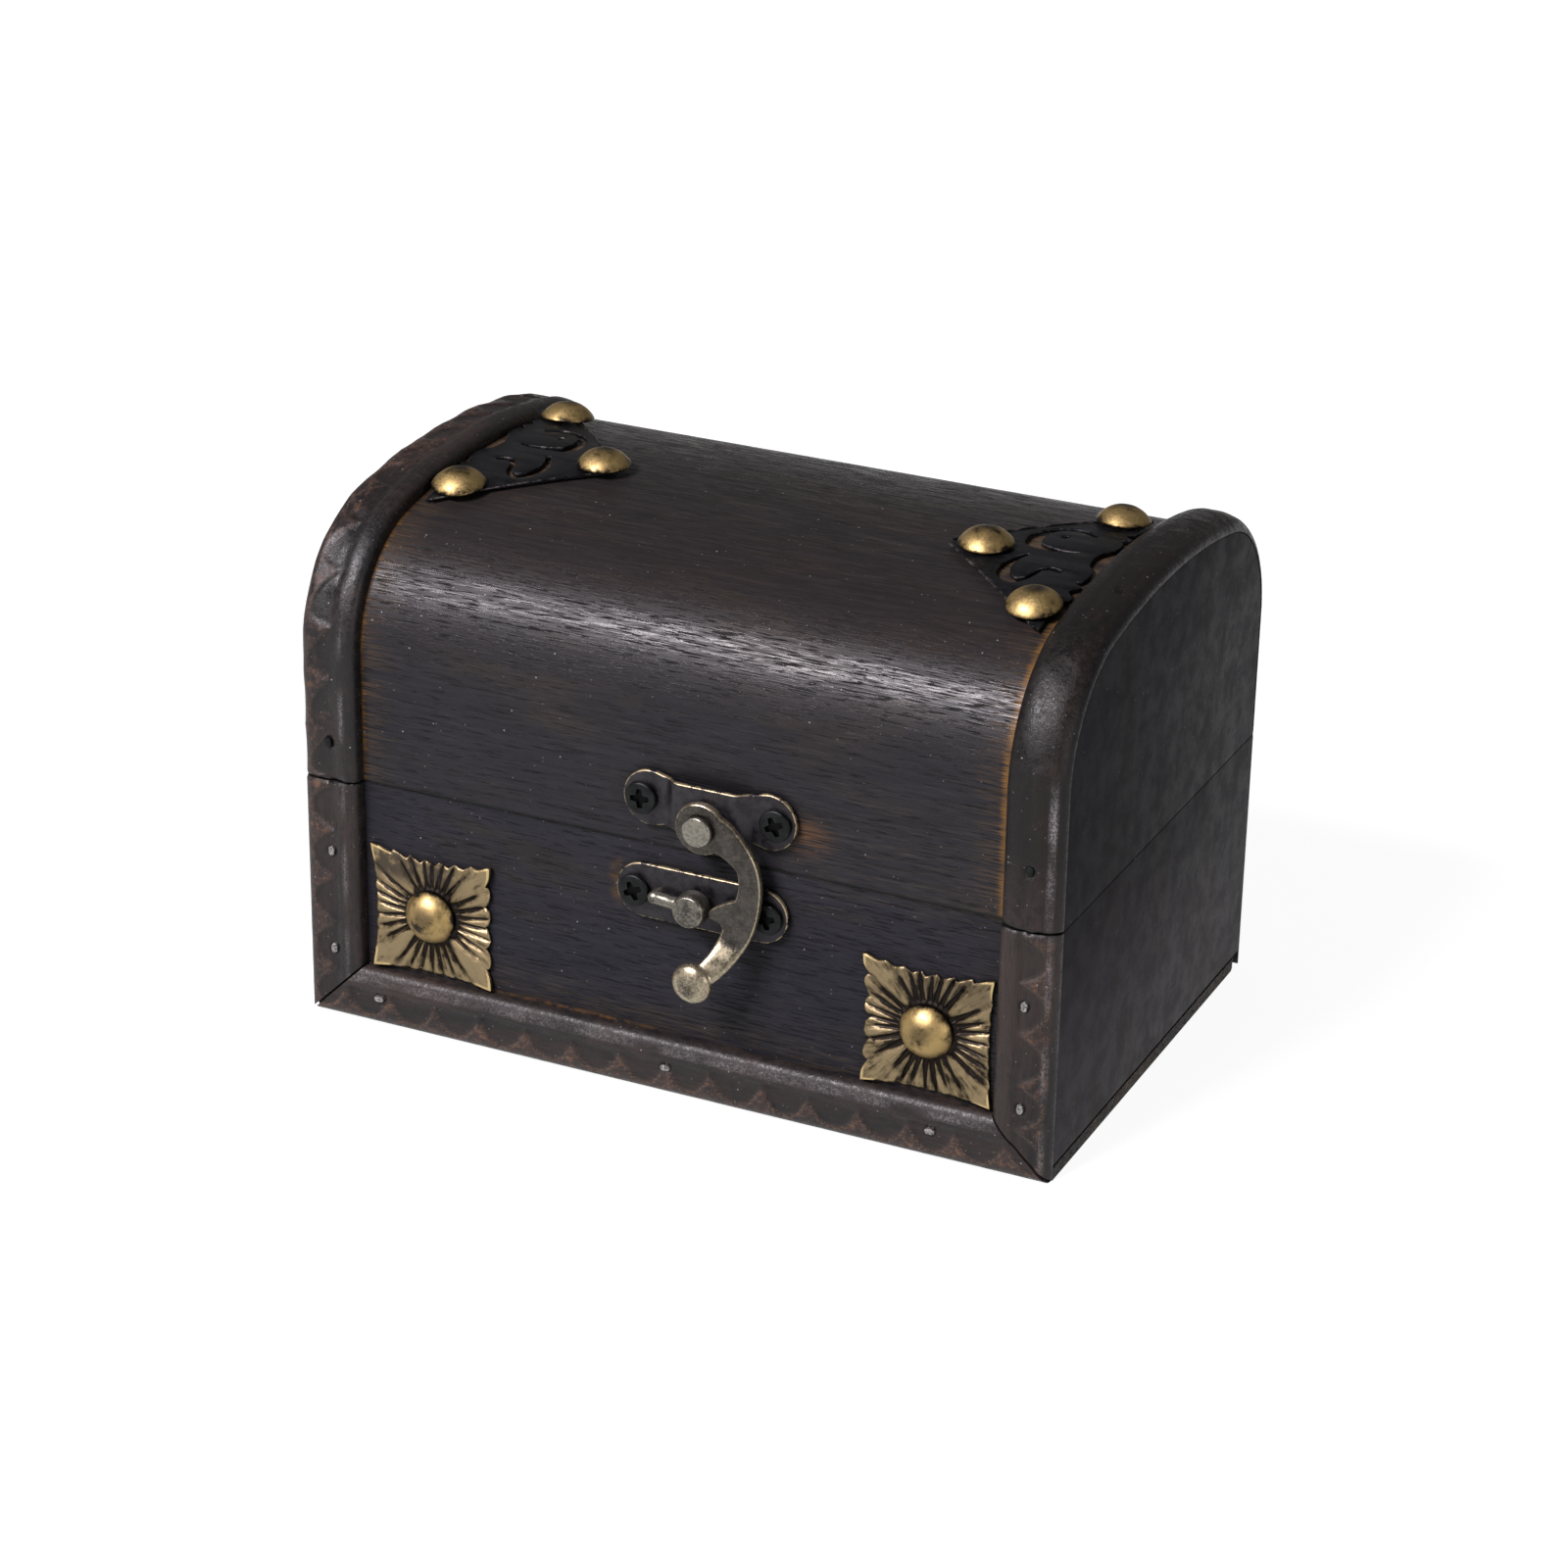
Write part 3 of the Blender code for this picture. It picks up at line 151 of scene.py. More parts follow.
class Look:
    """A Principled material that is put together from named node calls, with its colour so far."""

    def __init__(self, name, roughness, metallic=0.0, specular=0.5):
        self.material = bpy.data.materials.new(name)
        self.material.use_nodes = True
        self.tree = self.material.node_tree
        self.shader = self.tree.nodes["Principled BSDF"]
        self.shader.inputs["Roughness"].default_value = roughness
        self.shader.inputs["Metallic"].default_value = metallic
        self.shader.inputs["Specular IOR Level"].default_value = specular

    def node(self, kind, settings=None, **inputs):
        made = self.tree.nodes.new(kind)
        for key, value in (settings or {}).items():
            setattr(made, key, value)
        for key, value in inputs.items():
            self.feed(made.inputs[key.replace("_", " ")], value)
        return made

    def feed(self, socket, value):
        if isinstance(value, Field):
            value = value.socket
        if isinstance(value, bpy.types.NodeSocket):
            self.tree.links.new(value, socket)
        else:
            socket.default_value = value

    def place(self, scale=(1, 1, 1), attribute=None):
        """The point on the object, or a vector stored on its mesh, stretched by a scale."""
        if attribute:
            source = self.node("ShaderNodeAttribute", {"attribute_name": attribute}).outputs["Vector"]
        else:
            source = self.node("ShaderNodeTexCoord").outputs["Object"]
        return self.node("ShaderNodeMapping", Vector=source, Scale=scale).outputs["Vector"]

    def axes(self):
        split = self.node("ShaderNodeSeparateXYZ", Vector=self.place())
        return [Field(self, split.outputs[name]) for name in "XYZ"]

    def stored(self, attribute):
        return Field(self, self.node("ShaderNodeAttribute", {"attribute_name": attribute}).outputs["Fac"])

    def noise(self, vector, detail=3.0, roughness=0.55, distortion=0.0):
        made = self.node(
            "ShaderNodeTexNoise", Vector=vector, Scale=1.0, Detail=detail, Roughness=roughness, Distortion=distortion
        )
        return Field(self, made.outputs["Fac"])

    def cloud(self, size, detail=3.0, roughness=0.55):
        """Noise of the same size in every direction."""
        return self.noise(self.place((1 / size,) * 3), detail, roughness)

    def specks(self, size, dot, share):
        """Small dots in a share of the cells of a given size."""
        cells = self.node("ShaderNodeTexVoronoi", Vector=self.place(), Scale=1 / size)
        near = Field(self, cells.outputs["Distance"]).span(dot, dot * 0.5)
        pick = Field(self, self.node("ShaderNodeSeparateColor", Color=cells.outputs["Color"]).outputs["Red"])
        return near * pick.combine("LESS_THAN", share)

    def spot(self, centre, radii, soft):
        """One inside an ellipsoid on the object, in millimetres, fading to zero at its surface."""
        vector = self.node("ShaderNodeTexCoord").outputs["Object"]
        for operation, values in (("ADD", [-c * MM for c in centre]), ("MULTIPLY", [1 / (r * MM) for r in radii])):
            made = self.node("ShaderNodeVectorMath", {"operation": operation})
            self.feed(made.inputs[0], vector)
            made.inputs[1].default_value = values
            vector = made.outputs["Vector"]
        far = self.node("ShaderNodeVectorMath", {"operation": "LENGTH"})
        self.feed(far.inputs[0], vector)
        return Field(self, far.outputs["Value"]).span(1.0, soft)

    def mix(self, factor, a, b, mode="MIX"):
        made = self.node("ShaderNodeMix", {"data_type": "RGBA", "blend_type": mode})
        self.feed(made.inputs["Factor"], factor)
        for key, colour in (("A", a), ("B", b)):
            self.feed(made.inputs[key], colour if isinstance(colour, bpy.types.NodeSocket) else (*colour, 1.0))
        return [socket for socket in made.outputs if socket.type == "RGBA"][0]

    def paint(self, share, colour):
        """Cover the colour so far with another one, by a share."""
        self.colour = self.mix(share, self.colour, colour)

    def tint(self, share, colour):
        """Multiply the colour so far by another one, by a share."""
        self.colour = self.mix(share, self.colour, colour, "MULTIPLY")

    def grow(self, along, attribute=None):
        """Keep the wood's broad bands, streaks, fine fibres and dark pores, which run along one axis."""
        def grain(length, width, **settings):
            scale = [1 / (length if name == along else width) / MM for name in "XYZ"]
            return self.noise(self.place(scale, attribute), **settings)

        self.broad = grain(38, 9, detail=5.0, roughness=0.6, distortion=1.0)
        self.streak = grain(14, 0.80, detail=5.0, roughness=0.7, distortion=0.6)
        self.fine = grain(5.0, 0.26, detail=3.0, roughness=0.6, distortion=0.3)
        self.pore = grain(3.6, 0.22, detail=2.0, distortion=0.2).span(0.56, 0.62)

    def dust(self, share):
        """Tiny pale specks of dust and bare wood."""
        faint = self.specks(0.7 * MM, 0.2, share) * 0.30
        specks = (self.specks(1.3 * MM, 0.12, share) * 0.8).combine("MAXIMUM", faint)
        self.paint(specks, (0.17, 0.165, 0.16))

    def finish(self, roughness=None, height=None, strength=0.4, distance=0.2 * MM):
        self.feed(self.shader.inputs["Base Color"], self.colour)
        if roughness:
            self.feed(self.shader.inputs["Roughness"], roughness)
        if height:
            bump = self.node("ShaderNodeBump", Height=height, Strength=strength, Distance=distance)
            self.feed(self.shader.inputs["Normal"], bump.outputs["Normal"])
        return self.material


def scaled(colour, *gains):
    """A colour times one gain, or times one for each channel."""
    return [value * gain for value, gain in zip(colour, gains * 3 if len(gains) == 1 else gains)]


def board_look(name, along, cool, warm, gloss, top_warm=0.0, contrast=1.0):
    """Charcoal stain over brown wood."""
    look = Look(name, 0.42, specular=gloss)
    look.grow(along)
    warmth = look.broad.span(0.46, 0.74) + look.axes()[2].span(56 * MM, 76 * MM, 0.0, top_warm)
    look.colour = look.mix(warmth.combine("MINIMUM", 1.0), cool, warm)
    look.tint(0.5 * contrast, look.mix(look.streak.span(0.32, 0.68), (0.55, 0.55, 0.56), (1.7, 1.65, 1.6)))
    look.tint(look.fine.span(0.56, 0.74) * (0.40 * contrast), (3.0, 2.8, 2.6))
    look.paint(look.pore * (0.75 * contrast), PORE_AND_SHADE_BLACK)
    return look


def wood_finish(look, dust, low, high, strength=0.55):
    look.dust(dust)
    height = look.streak + look.fine - look.pore
    mixed = look.streak * 0.45 + look.fine * 0.55
    rough = mixed.span(0.43, 0.57, high, low) + look.pore * 0.5
    return look.finish(rough, height, strength, 0.10 * MM)


def make_shell_look():
    """The lid's bent sheet: bare orange wood shows where it meets the arches and fittings."""
    look = board_look(
        "lid_shell_stain_and_painted_shade", "X", (0.0074, 0.0071, 0.0092), (0.0125, 0.0100, 0.0092), 0.16, top_warm=0.6
    )
    x, y, z = look.axes()
    outside = look.stored("outside").span(0.5, 1.0)
    front = y.span(-16 * MM, -27 * MM, 0.10, 1.0) * outside
    away = x.combine("ABSOLUTE")
    drift = away + (look.streak - 0.5) * (14 * MM)
    look.paint(drift.span(44 * MM, 51 * MM) * look.fine.span(0.44, 0.58) * 0.60, (0.036, 0.022, 0.011))
    out = away + x.span(-1 * MM, 1 * MM, -0.25 * MM, 0.30 * MM) + (look.fine - 0.5) * (2.6 * MM)
    patchy = look.cloud(3 * MM).span(0.36, 0.56, 0.40, 0.95)
    look.paint(out.span(49.9 * MM, 51.1 * MM) * front * patchy, (0.092, 0.046, 0.011))
    seam = z.span(60 * MM, 44 * MM) * x.span(0.0, 34 * MM)
    look.paint(seam * look.fine.span(0.50, 0.62) * 0.35, BROWN_BLOOM)
    # Painted shadow with grime: a dark halo round the upper latch plate.
    look.paint(look.spot((6.4, -38.4, 46.2), (18, 5, 7.6), 0.62) * 0.7, GRIME_AND_SHADOW)
    # A worn patch of bare orange wood beside the latch plate.
    rub = look.spot((20.3, -38.4, 45.0), (6.4, 4, 4.2), 0.0) * look.fine.span(0.40, 0.58)
    look.paint(rub * 0.95, (0.056, 0.027, 0.011))
    for side, shift in ((-1, 0.3), (1, -3.5)):
        bare = look.spot((side * 43, shift, 78.5), (10, 13, 6), 0.75)
        tan = look.noise(look.place((1 / (6 * MM), 1 / (2 * MM), 1 / (2 * MM)))).span(0.36, 0.58) * outside
        look.paint(bare * tan, (0.045, 0.030, 0.018))
    # Painted shade: a small dark pit on the lid, and a black band along its lower edge at the seam.
    pit_shade = look.spot((-20.4, -27.2, 74.2), (0.9, 0.9, 0.9), 0.6)
    look.paint(pit_shade.combine("MAXIMUM", z.span(39.45 * MM, 39.05 * MM, 0.0, 0.85)), PAINTED_CRACK_SHADE)
    return wood_finish(look, 0.05, 0.24, 0.48, 0.34)


def make_front_look():
    look = board_look(
        "front_board_stain_and_painted_shade", "X", (0.0078, 0.0078, 0.0110), (0.0095, 0.0085, 0.0086), 0.12, contrast=0.8
    )
    x, y, z = look.axes()
    # Painted shadow with grime: a dark halo round the catch plate.
    look.paint(look.spot((5.6, -38.4, 31.6), (17.5, 5, 7.4), 0.62) * 0.7, GRIME_AND_SHADOW)
    side_stain = look.spot((-8.8, -38.4, 31.7), (2.0, 4, 4.8), 0.2) * 0.45
    foot_line = look.spot((-16, -38.4, 9.2), (20, 4, 0.5), 0.3) * 0.8
    broken = look.cloud(1.6 * MM, 4.0).span(0.36, 0.6)
    look.paint(side_stain.combine("MAXIMUM", foot_line) * broken, (0.075, 0.038, 0.011))
    # Painted shade: a black band along the board's top edge at the seam.
    look.paint(z.span(38.35 * MM, 38.75 * MM, 0.0, 0.85), PAINTED_CRACK_SHADE)
    high = z.span(25 * MM, 38 * MM) * x.span(0.0, 34 * MM)
    look.paint(high * look.fine.span(0.50, 0.62, 0.0, 0.35), BROWN_BLOOM)
    low = z.span(17 * MM, 9 * MM) * look.fine.span(0.42, 0.62)
    look.paint(low * 0.40, (0.034, 0.023, 0.013))
    return wood_finish(look, 0.08, 0.36, 0.62)


def make_end_look():
    look = board_look(
        "end_board_stain_and_painted_reflection", "Z", (0.0095, 0.0091, 0.0110), (0.0108, 0.0098, 0.0104), 0.03, contrast=0.10
    )
    mottle = look.cloud(5 * MM, 6.0, 0.75)
    look.tint(mottle.span(0.40, 0.62, 0.0, 0.3), (0.5, 0.5, 0.5))
    # Painted reflection of the pale floor: the board grows lighter towards its foot.
    look.tint(look.axes()[2].span(50 * MM, 10 * MM), (3.1, 2.95, 2.7))
    look.dust(0.09)
    return look.finish(mottle.span(0.35, 0.65, 0.48, 0.62), mottle, 0.12, 0.1 * MM)


def make_bottom_look():
    look = board_look("bottom_board_stain", "X", (0.018, 0.016, 0.015), (0.035, 0.024, 0.016), 0.1)
    return wood_finish(look, 0.05, 0.5, 0.75)


def make_moulding_look(name, dark, pale, gloss, painted_highlight_gain=0.22):
    """Carved mouldings: the stain is worn through to brown between the scoops, and pale on their rims; shade and a
    highlight are painted on too.
    """
    look = Look(name, 0.38, specular=gloss)
    look.grow("X", "flow")
    patch = look.cloud(1.3 * MM, 5.0, 0.7)
    grit = look.cloud(0.35 * MM, 3.0, 0.7)
    worn = look.stored("worn")
    look.colour = look.mix((look.broad + patch * 0.5).span(0.60, 0.90), dark, pale)
    look.tint(look.streak.span(0.35, 0.7, 0.0, 0.45), (1.7, 1.6, 1.5))
    # Painted shade: the insides of the scoops are darkened.
    look.tint(look.stored("hollow_shade") * 0.45, (0.45, 0.45, 0.48))
    look.paint(worn * patch.span(0.40, 0.60) * 0.70, scaled(pale, 2.6, 2.1, 1.9))
    look.paint(worn * patch.span(0.52, 0.66) * 0.85, scaled(pale, 6.4, 4.6, 2.5))
    look.paint(look.stored("scoop_rim") * grit.span(0.40, 0.60) * 0.70, scaled(pale, 5.6, 4.8, 3.6))
    # Painted highlight: a pale streak along one roll of the moulding.
    look.paint(look.stored("rub") * grit.span(0.44, 0.60, 0.25, 1.0) * painted_highlight_gain, (0.26, 0.245, 0.25))
    look.paint(look.stored("foot") * patch.span(0.36, 0.58, 0.35, 1.0), (0.0175, 0.0125, 0.0112))
    look.paint(look.pore * 0.5, PORE_AND_SHADE_BLACK)
    # Painted shade in the dents round the brads and on the arches, and at the ends by the seam.
    look.paint(look.stored("pit_shade") * 0.85, PORE_AND_SHADE_BLACK)
    look.dust(0.12)
    height = look.streak * 0.5 + patch * 1.1 + grit * 0.6
    rough = (patch * 0.5 + grit * 0.5).span(0.38, 0.62, 0.28, 0.60)
    return look.finish(rough, height, 0.45, 0.16 * MM)


def make_brass_look(name, low, high, dark_low, dark_high, cloudy, veined, roughness):
    """Antique brass: bright where a stored relief is high, dark and olive in its hollows, with black scuffs."""
    look = Look(name, 0.33, metallic=0.95)
    relief = look.stored("relief")
    cloud = look.cloud(2.4 * MM, 5.0, 0.65)
    grit = look.cloud(0.35 * MM, 4.0, 0.7)
    vein = look.noise(look.place(attribute="ray"), 4.0, 0.65)
    tone = relief + (cloud * cloudy + vein * veined - 0.5 * (cloudy + veined))
    look.colour = look.mix(tone.span(0.05, 0.95), low, high)
    look.paint(relief.span(1.02, 1.30), (0.46, 0.35, 0.17))
    look.paint((tone + (grit - 0.5) * 0.6).span(dark_high, dark_low), (0.014, 0.011, 0.009))
    look.paint(look.stored("soot") * cloud.span(0.38, 0.54), (0.018, 0.016, 0.018))
    height = cloud + grit * 0.35 + vein * veined
    return look.finish(grit.span(0.3, 0.7, *roughness), height, 0.35, 0.12 * MM)


def make_rimmed_look(name, face, rim, rim_gain=1.0, grit_dark=0.0, roughness=(0.34, 0.55), broken=1.0):
    """Cast or stamped metal with a dark face and a stored share of bright worn edge; where the stored share is below
    zero, shade is painted black.
    """
    look = Look(name, 0.4, metallic=0.9)
    cloud = look.cloud(1.8 * MM, 5.0, 0.65)
    grit = look.cloud(0.22 * MM, 4.0, 0.7)
    scratch = look.noise(look.place((1 / (0.25 * MM), 1 / (2 * MM), 1 / (1.6 * MM))), 4.0, 0.7)
    stored = look.stored("rim")
    look.colour = look.mix(cloud.span(0.35, 0.65), scaled(face, 0.75), scaled(face, 1.3))
    look.paint(scratch.span(0.60, 0.72, 0.0, 0.5), scaled(face, 2.4))
    edge = stored * cloud.span(0.40, 0.58, broken * rim_gain, rim_gain) + (grit - 0.5) * 0.7
    look.paint(edge.span(0.25, 0.70), rim)
    # Painted shade: stored shares below zero, in the screws' cross recesses, turn black.
    look.paint(stored.span(-0.2, -0.8), PAINTED_CRACK_SHADE)
    if grit_dark:
        look.paint(look.cloud(0.45 * MM, 4.0, 0.75).span(0.56, 0.36) * grit_dark, (0.026, 0.022, 0.019))
    return look.finish(cloud.span(0.3, 0.7, *roughness), grit * 0.5 + scratch, 0.25, 0.06 * MM)


def make_metal_look(name, roughness, metallic, grain, tones, dark, bright, strength, distance):
    """Plain metal, mottled between a dark and a bright tone."""
    look = Look(name, roughness, metallic=metallic)
    cloud = look.cloud(*grain)
    look.colour = look.mix(cloud.span(*tones), dark, bright)
    return look.finish(cloud.span(0.3, 0.7, 0.3, 0.5), cloud, strength, distance)


# Meshes

def mesh_of(name, bm):
    mesh = bpy.data.meshes.new(name)
    bm.to_mesh(mesh)
    bm.free()
    return mesh


def linked(name, data):
    made = bpy.data.objects.new(name, data)
    bpy.context.collection.objects.link(made)
    return made


def shape(name, bm, material, body, slot, *nodes, place=None, angle=40.0):
    """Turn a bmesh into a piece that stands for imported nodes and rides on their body."""
    if place:
        bmesh.ops.transform(bm, matrix=place, verts=bm.verts)
    bmesh.ops.recalc_face_normals(bm, faces=bm.faces)
    mesh = mesh_of(name, bm)
    mesh.shade_smooth()
    mesh.set_sharp_from_angle(angle=math.radians(angle))
    mesh.materials.append(material)
    made = linked(name, mesh)
    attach(made, body)
    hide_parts(*nodes)


def on_front(x, z, out=0.0):
    return Matrix.Translation((x, -HALF_DEPTH - out, z)) @ Matrix.Rotation(math.pi / 2, 4, "X")


def on_crown(x, y, out=0.0):
    tilt = math.asin(y / CROWN_RADIUS)
    centre = Matrix.Translation((x, 0, CROWN_CENTRE))
    return centre @ Matrix.Rotation(-tilt, 4, "X") @ Matrix.Translation((0, 0, CROWN_RADIUS + out))


def arc(centre, radius, start, end, steps):
    angles = [start + (end - start) * i / steps for i in range(steps + 1)]
    return [(centre[0] + radius * math.cos(a), centre[1] + radius * math.sin(a)) for a in angles]


def in_mm(points):
    return [tuple(value * MM for value in point) for point in points]


def smooth_route(points, steps):
    """A Catmull-Rom curve through points of any dimension."""
    rows = [Vector(point) for point in points]
    rows = [2 * rows[0] - rows[1]] + rows + [2 * rows[-1] - rows[-2]]
    made = []
    for a, b, c, d in zip(rows, rows[1:], rows[2:], rows[3:]):
        bend = 2 * a - 5 * b + 4 * c - d
        twist = 3 * b - a - 3 * c + d
        for i in range(steps):
            t = i / steps
            made.append(0.5 * (2 * b + (c - a) * t + bend * t**2 + twist * t**3))
    made.append(rows[-2])
    return made


def side_steps(route):
    """The direction to the left of a route at each of its points."""
    sides = []
    for i in range(len(route)):
        ahead = route[min(i + 1, len(route) - 1)] - route[max(i - 1, 0)]
        sides.append(Vector((-ahead[1], ahead[0])).normalized())
    return sides


def prism(outline, depth, place=Matrix()):
    bm = bmesh.new()
    base = bm.faces.new([bm.verts.new((x, y, 0)) for x, y in outline])
    grown = bmesh.ops.extrude_face_region(bm, geom=[base])
    top = [item for item in grown["geom"] if isinstance(item, bmesh.types.BMVert)]
    bmesh.ops.translate(bm, verts=top, vec=(0, 0, depth))
    bmesh.ops.transform(bm, matrix=place, verts=bm.verts)
    bmesh.ops.recalc_face_normals(bm, faces=bm.faces)
    return bm


def join_rows(bm, rows):
    """Put faces between each two neighbouring closed rows of corners."""
    count = len(rows[0])
    for near, far in zip(rows, rows[1:]):
        for i in range(count):
            j = (i + 1) % count
            bm.faces.new((near[i], near[j], far[j], far[i]))


def skin(rings, bm=None):
    """Join closed rings of equal count into a tube with flat ends, and return it with its rows of corners."""
    bm = bm or bmesh.new()
    rows = [[bm.verts.new(point) for point in ring] for ring in rings]
    join_rows(bm, rows)
    bm.faces.new(rows[0])
    bm.faces.new(rows[-1])
    return bm, rows


def turned(profile, steps, place=Matrix()):
    """Turn (radius, height) points, from the axis to the axis, about local +Z."""
    bm = bmesh.new()
    line = [bm.verts.new((radius, 0, height)) for radius, height in profile]
    edges = [bm.edges.new(pair) for pair in zip(line, line[1:])]
    bmesh.ops.spin(bm, geom=line + edges, cent=(0, 0, 0), axis=(0, 0, 1), angle=math.tau, steps=steps)
    bmesh.ops.remove_doubles(bm, verts=bm.verts, dist=WELD)
    bmesh.ops.recalc_face_normals(bm, faces=bm.faces)
    bmesh.ops.transform(bm, matrix=place, verts=bm.verts)
    return bm


def soften(bm, edges, offset, segments=2, **settings):
    bmesh.ops.bevel(bm, geom=edges, offset=offset, segments=segments, profile=0.5, affect="EDGES", **settings)


def slice_across(bm, point, normal):
    geom = list(bm.verts) + list(bm.edges) + list(bm.faces)
    bmesh.ops.bisect_plane(bm, geom=geom, dist=WELD, plane_co=point, plane_no=normal)


def merged(*parts):
    """Copy several bmeshes into one, and free them."""
    whole = bmesh.new()
    for part in parts:
        mesh = mesh_of("part", part)
        whole.from_mesh(mesh)
        bpy.data.meshes.remove(mesh)
    return whole


def applied(bm, *steps):
    """The bmesh after modifiers, each given as a kind and its settings; a tool bmesh is made an object."""
    work = linked("work", mesh_of("work", bm))
    tools = []
    for kind, settings in steps:
        modifier = work.modifiers.new("step", kind)
        for key, value in settings.items():
            if isinstance(value, bmesh.types.BMesh):
                value = linked("tool", mesh_of("tool", value))
                tools.append(value)
            setattr(modifier, key, value)
    bpy.context.view_layer.update()
    made = bmesh.new()
    made.from_mesh(work.evaluated_get(bpy.context.evaluated_depsgraph_get()).data)
    for item in [work, *tools]:
        mesh = item.data
        bpy.data.objects.remove(item, do_unlink=True)
        bpy.data.meshes.remove(mesh)
    return made


def without(bm, *cutters):
    cut = {"operation": "DIFFERENCE", "solver": "EXACT"}
    return applied(bm, *[("BOOLEAN", {**cut, "object": tool}) for tool in cutters])


def marked(vector, *names):
    """An empty bmesh, with a vector and several numbers to keep on its corners for a material to read."""
    bm = bmesh.new()
    bm.verts.layers.float_vector.new(vector)
    for name in names:
        bm.verts.layers.float.new(name)
    return bm, bm.verts.layers.float_vector[vector], [bm.verts.layers.float[name] for name in names]


def store(bm, name, value_at):
    """Keep a number on each corner of the mesh, for a material to read."""
    layer = bm.verts.layers.float.new(name)
    for vert in bm.verts:
        vert[layer] = value_at(vert)


def step_between(value, low, high):
    """Smoothly from 0 at low to 1 at high, which may be the smaller."""
    t = min(1.0, max(0.0, (value - low) / (high - low)))
    return t * t * (3 - 2 * t)


def waver(*place):
    return noise.noise(Vector(place))


def roughen(bm, size, depth, seed):
    """Push the corners in a little along their normals, so that nothing is perfectly true."""
    bm.normal_update()
    moves = [noise.noise(v.co / size + Vector((seed, 0, 0))) for v in bm.verts]
    for vert, move in zip(bm.verts, moves):
        vert.co += vert.normal * depth * min(0.0, move - 0.4)


# Wooden boards

def dome_path(inset, spacing, bottom=LID_BOTTOM):
    """The lid's outline from the front seam to the back one: (y, z), outwards and the distance along it."""
    half = []
    legs = math.ceil((SHOULDER_Z - bottom) / spacing)
    for i in range(legs):
        half.append(((-HALF_DEPTH, bottom + (SHOULDER_Z - bottom) * i / legs), (-1.0, 0.0)))
    sweep = math.pi / 2 - CROWN_TILT
    turns = math.ceil(SHOULDER_RADIUS * sweep / spacing)
    for i in range(turns + 1):
        out = (-math.cos(sweep * i / turns), math.sin(sweep * i / turns))
        half.append(((-SHOULDER_Y + SHOULDER_RADIUS * out[0], SHOULDER_Z + SHOULDER_RADIUS * out[1]), out))
    path = list(half)
    bends = math.ceil(2 * CROWN_RADIUS * CROWN_TILT / spacing)
    for i in range(1, bends):
        turn = CROWN_TILT * (2 * i / bends - 1)
        out = (math.sin(turn), math.cos(turn))
        path.append(((CROWN_RADIUS * out[0], CROWN_CENTRE + CROWN_RADIUS * out[1]), out))
    path += [((-y, z), (-out_y, out_z)) for (y, z), (out_y, out_z) in reversed(half)]
    made = []
    distance = 0.0
    for i, ((y, z), out) in enumerate(path):
        if i:
            distance += math.dist((y, z), path[i - 1][0])
        made.append(((y - inset * out[0], z - inset * out[1]), out, distance))
    return made


def make_shell(material):
    ends = (-BOARD_REACH, BOARD_REACH)
    rings = []
    paths = [dome_path(inset, DOME_STEP, SEAM_HEIGHT + BOARD_HALF_GAP) for inset in (0, SHELL_THICKNESS)]
    for (outer, _, _), (inner, _, _) in zip(*paths):
        rings.append([(x, *outer) for x in ends] + [(x, *inner) for x in reversed(ends)])
    bm = bmesh.new()
    layer = bm.verts.layers.float.new("outside")
    for row in skin(rings, bm)[1]:
        row[0][layer] = row[1][layer] = 1.0
    shape("lid_bent_sheet", bm, material, "lid", "board", "lid_shell")


def make_lid_end(name, side, material, node):
    """An end board with slightly rounded edges."""
    inner, outer = side * (HALF_WIDTH - END_THICKNESS), side * HALF_WIDTH
    soft, slight = 0.35 * MM, 0.1 * MM
    sections = (
        (inner, soft), (inner + side * soft, 0.0), (outer - side * soft, 0.0), (outer - side * slight, slight),
        (outer, soft),
    )
    rings = []
    for x, inset in sections:
        path = dome_path(inset, DOME_STEP, SEAM_HEIGHT + BOARD_HALF_GAP + inset * 0.35)
        rings.append([(x, y, z) for (y, z), _, _ in path])
    shape(name, skin(rings)[0], material, "lid", "board", node)


def make_base_boards(looks):
    wall = HALF_DEPTH - WALL_THICKNESS
    end = HALF_WIDTH - END_THICKNESS
    boards = (
        ("base_front_wall", "front", (-BOARD_REACH, -HALF_DEPTH), (BOARD_REACH, -wall), "base_front_board", 0.10),
        ("base_back_wall", "front", (-BOARD_REACH, wall), (BOARD_REACH, HALF_DEPTH), "base_back_board", 0.12),
        ("base_left_wall", "end", (-HALF_WIDTH, -HALF_DEPTH), (-end, HALF_DEPTH), "base_left_end", 0.14),
        ("base_right_wall", "end", (end, -HALF_DEPTH), (HALF_WIDTH, HALF_DEPTH), "base_right_end", 0.14),
    )
    for name, look, (x0, y0), (x1, y1), node, soft in boards:
        height = SEAM_HEIGHT - BOARD_HALF_GAP - WALL_FOOT
        bm = prism(((x0, y0), (x1, y0), (x1, y1), (x0, y1)), height, Matrix.Translation((0, 0, WALL_FOOT)))
        soften(bm, list(bm.edges), soft * MM)
        shape(name, bm, looks[look], "base", "board", node)


# Carved mouldings

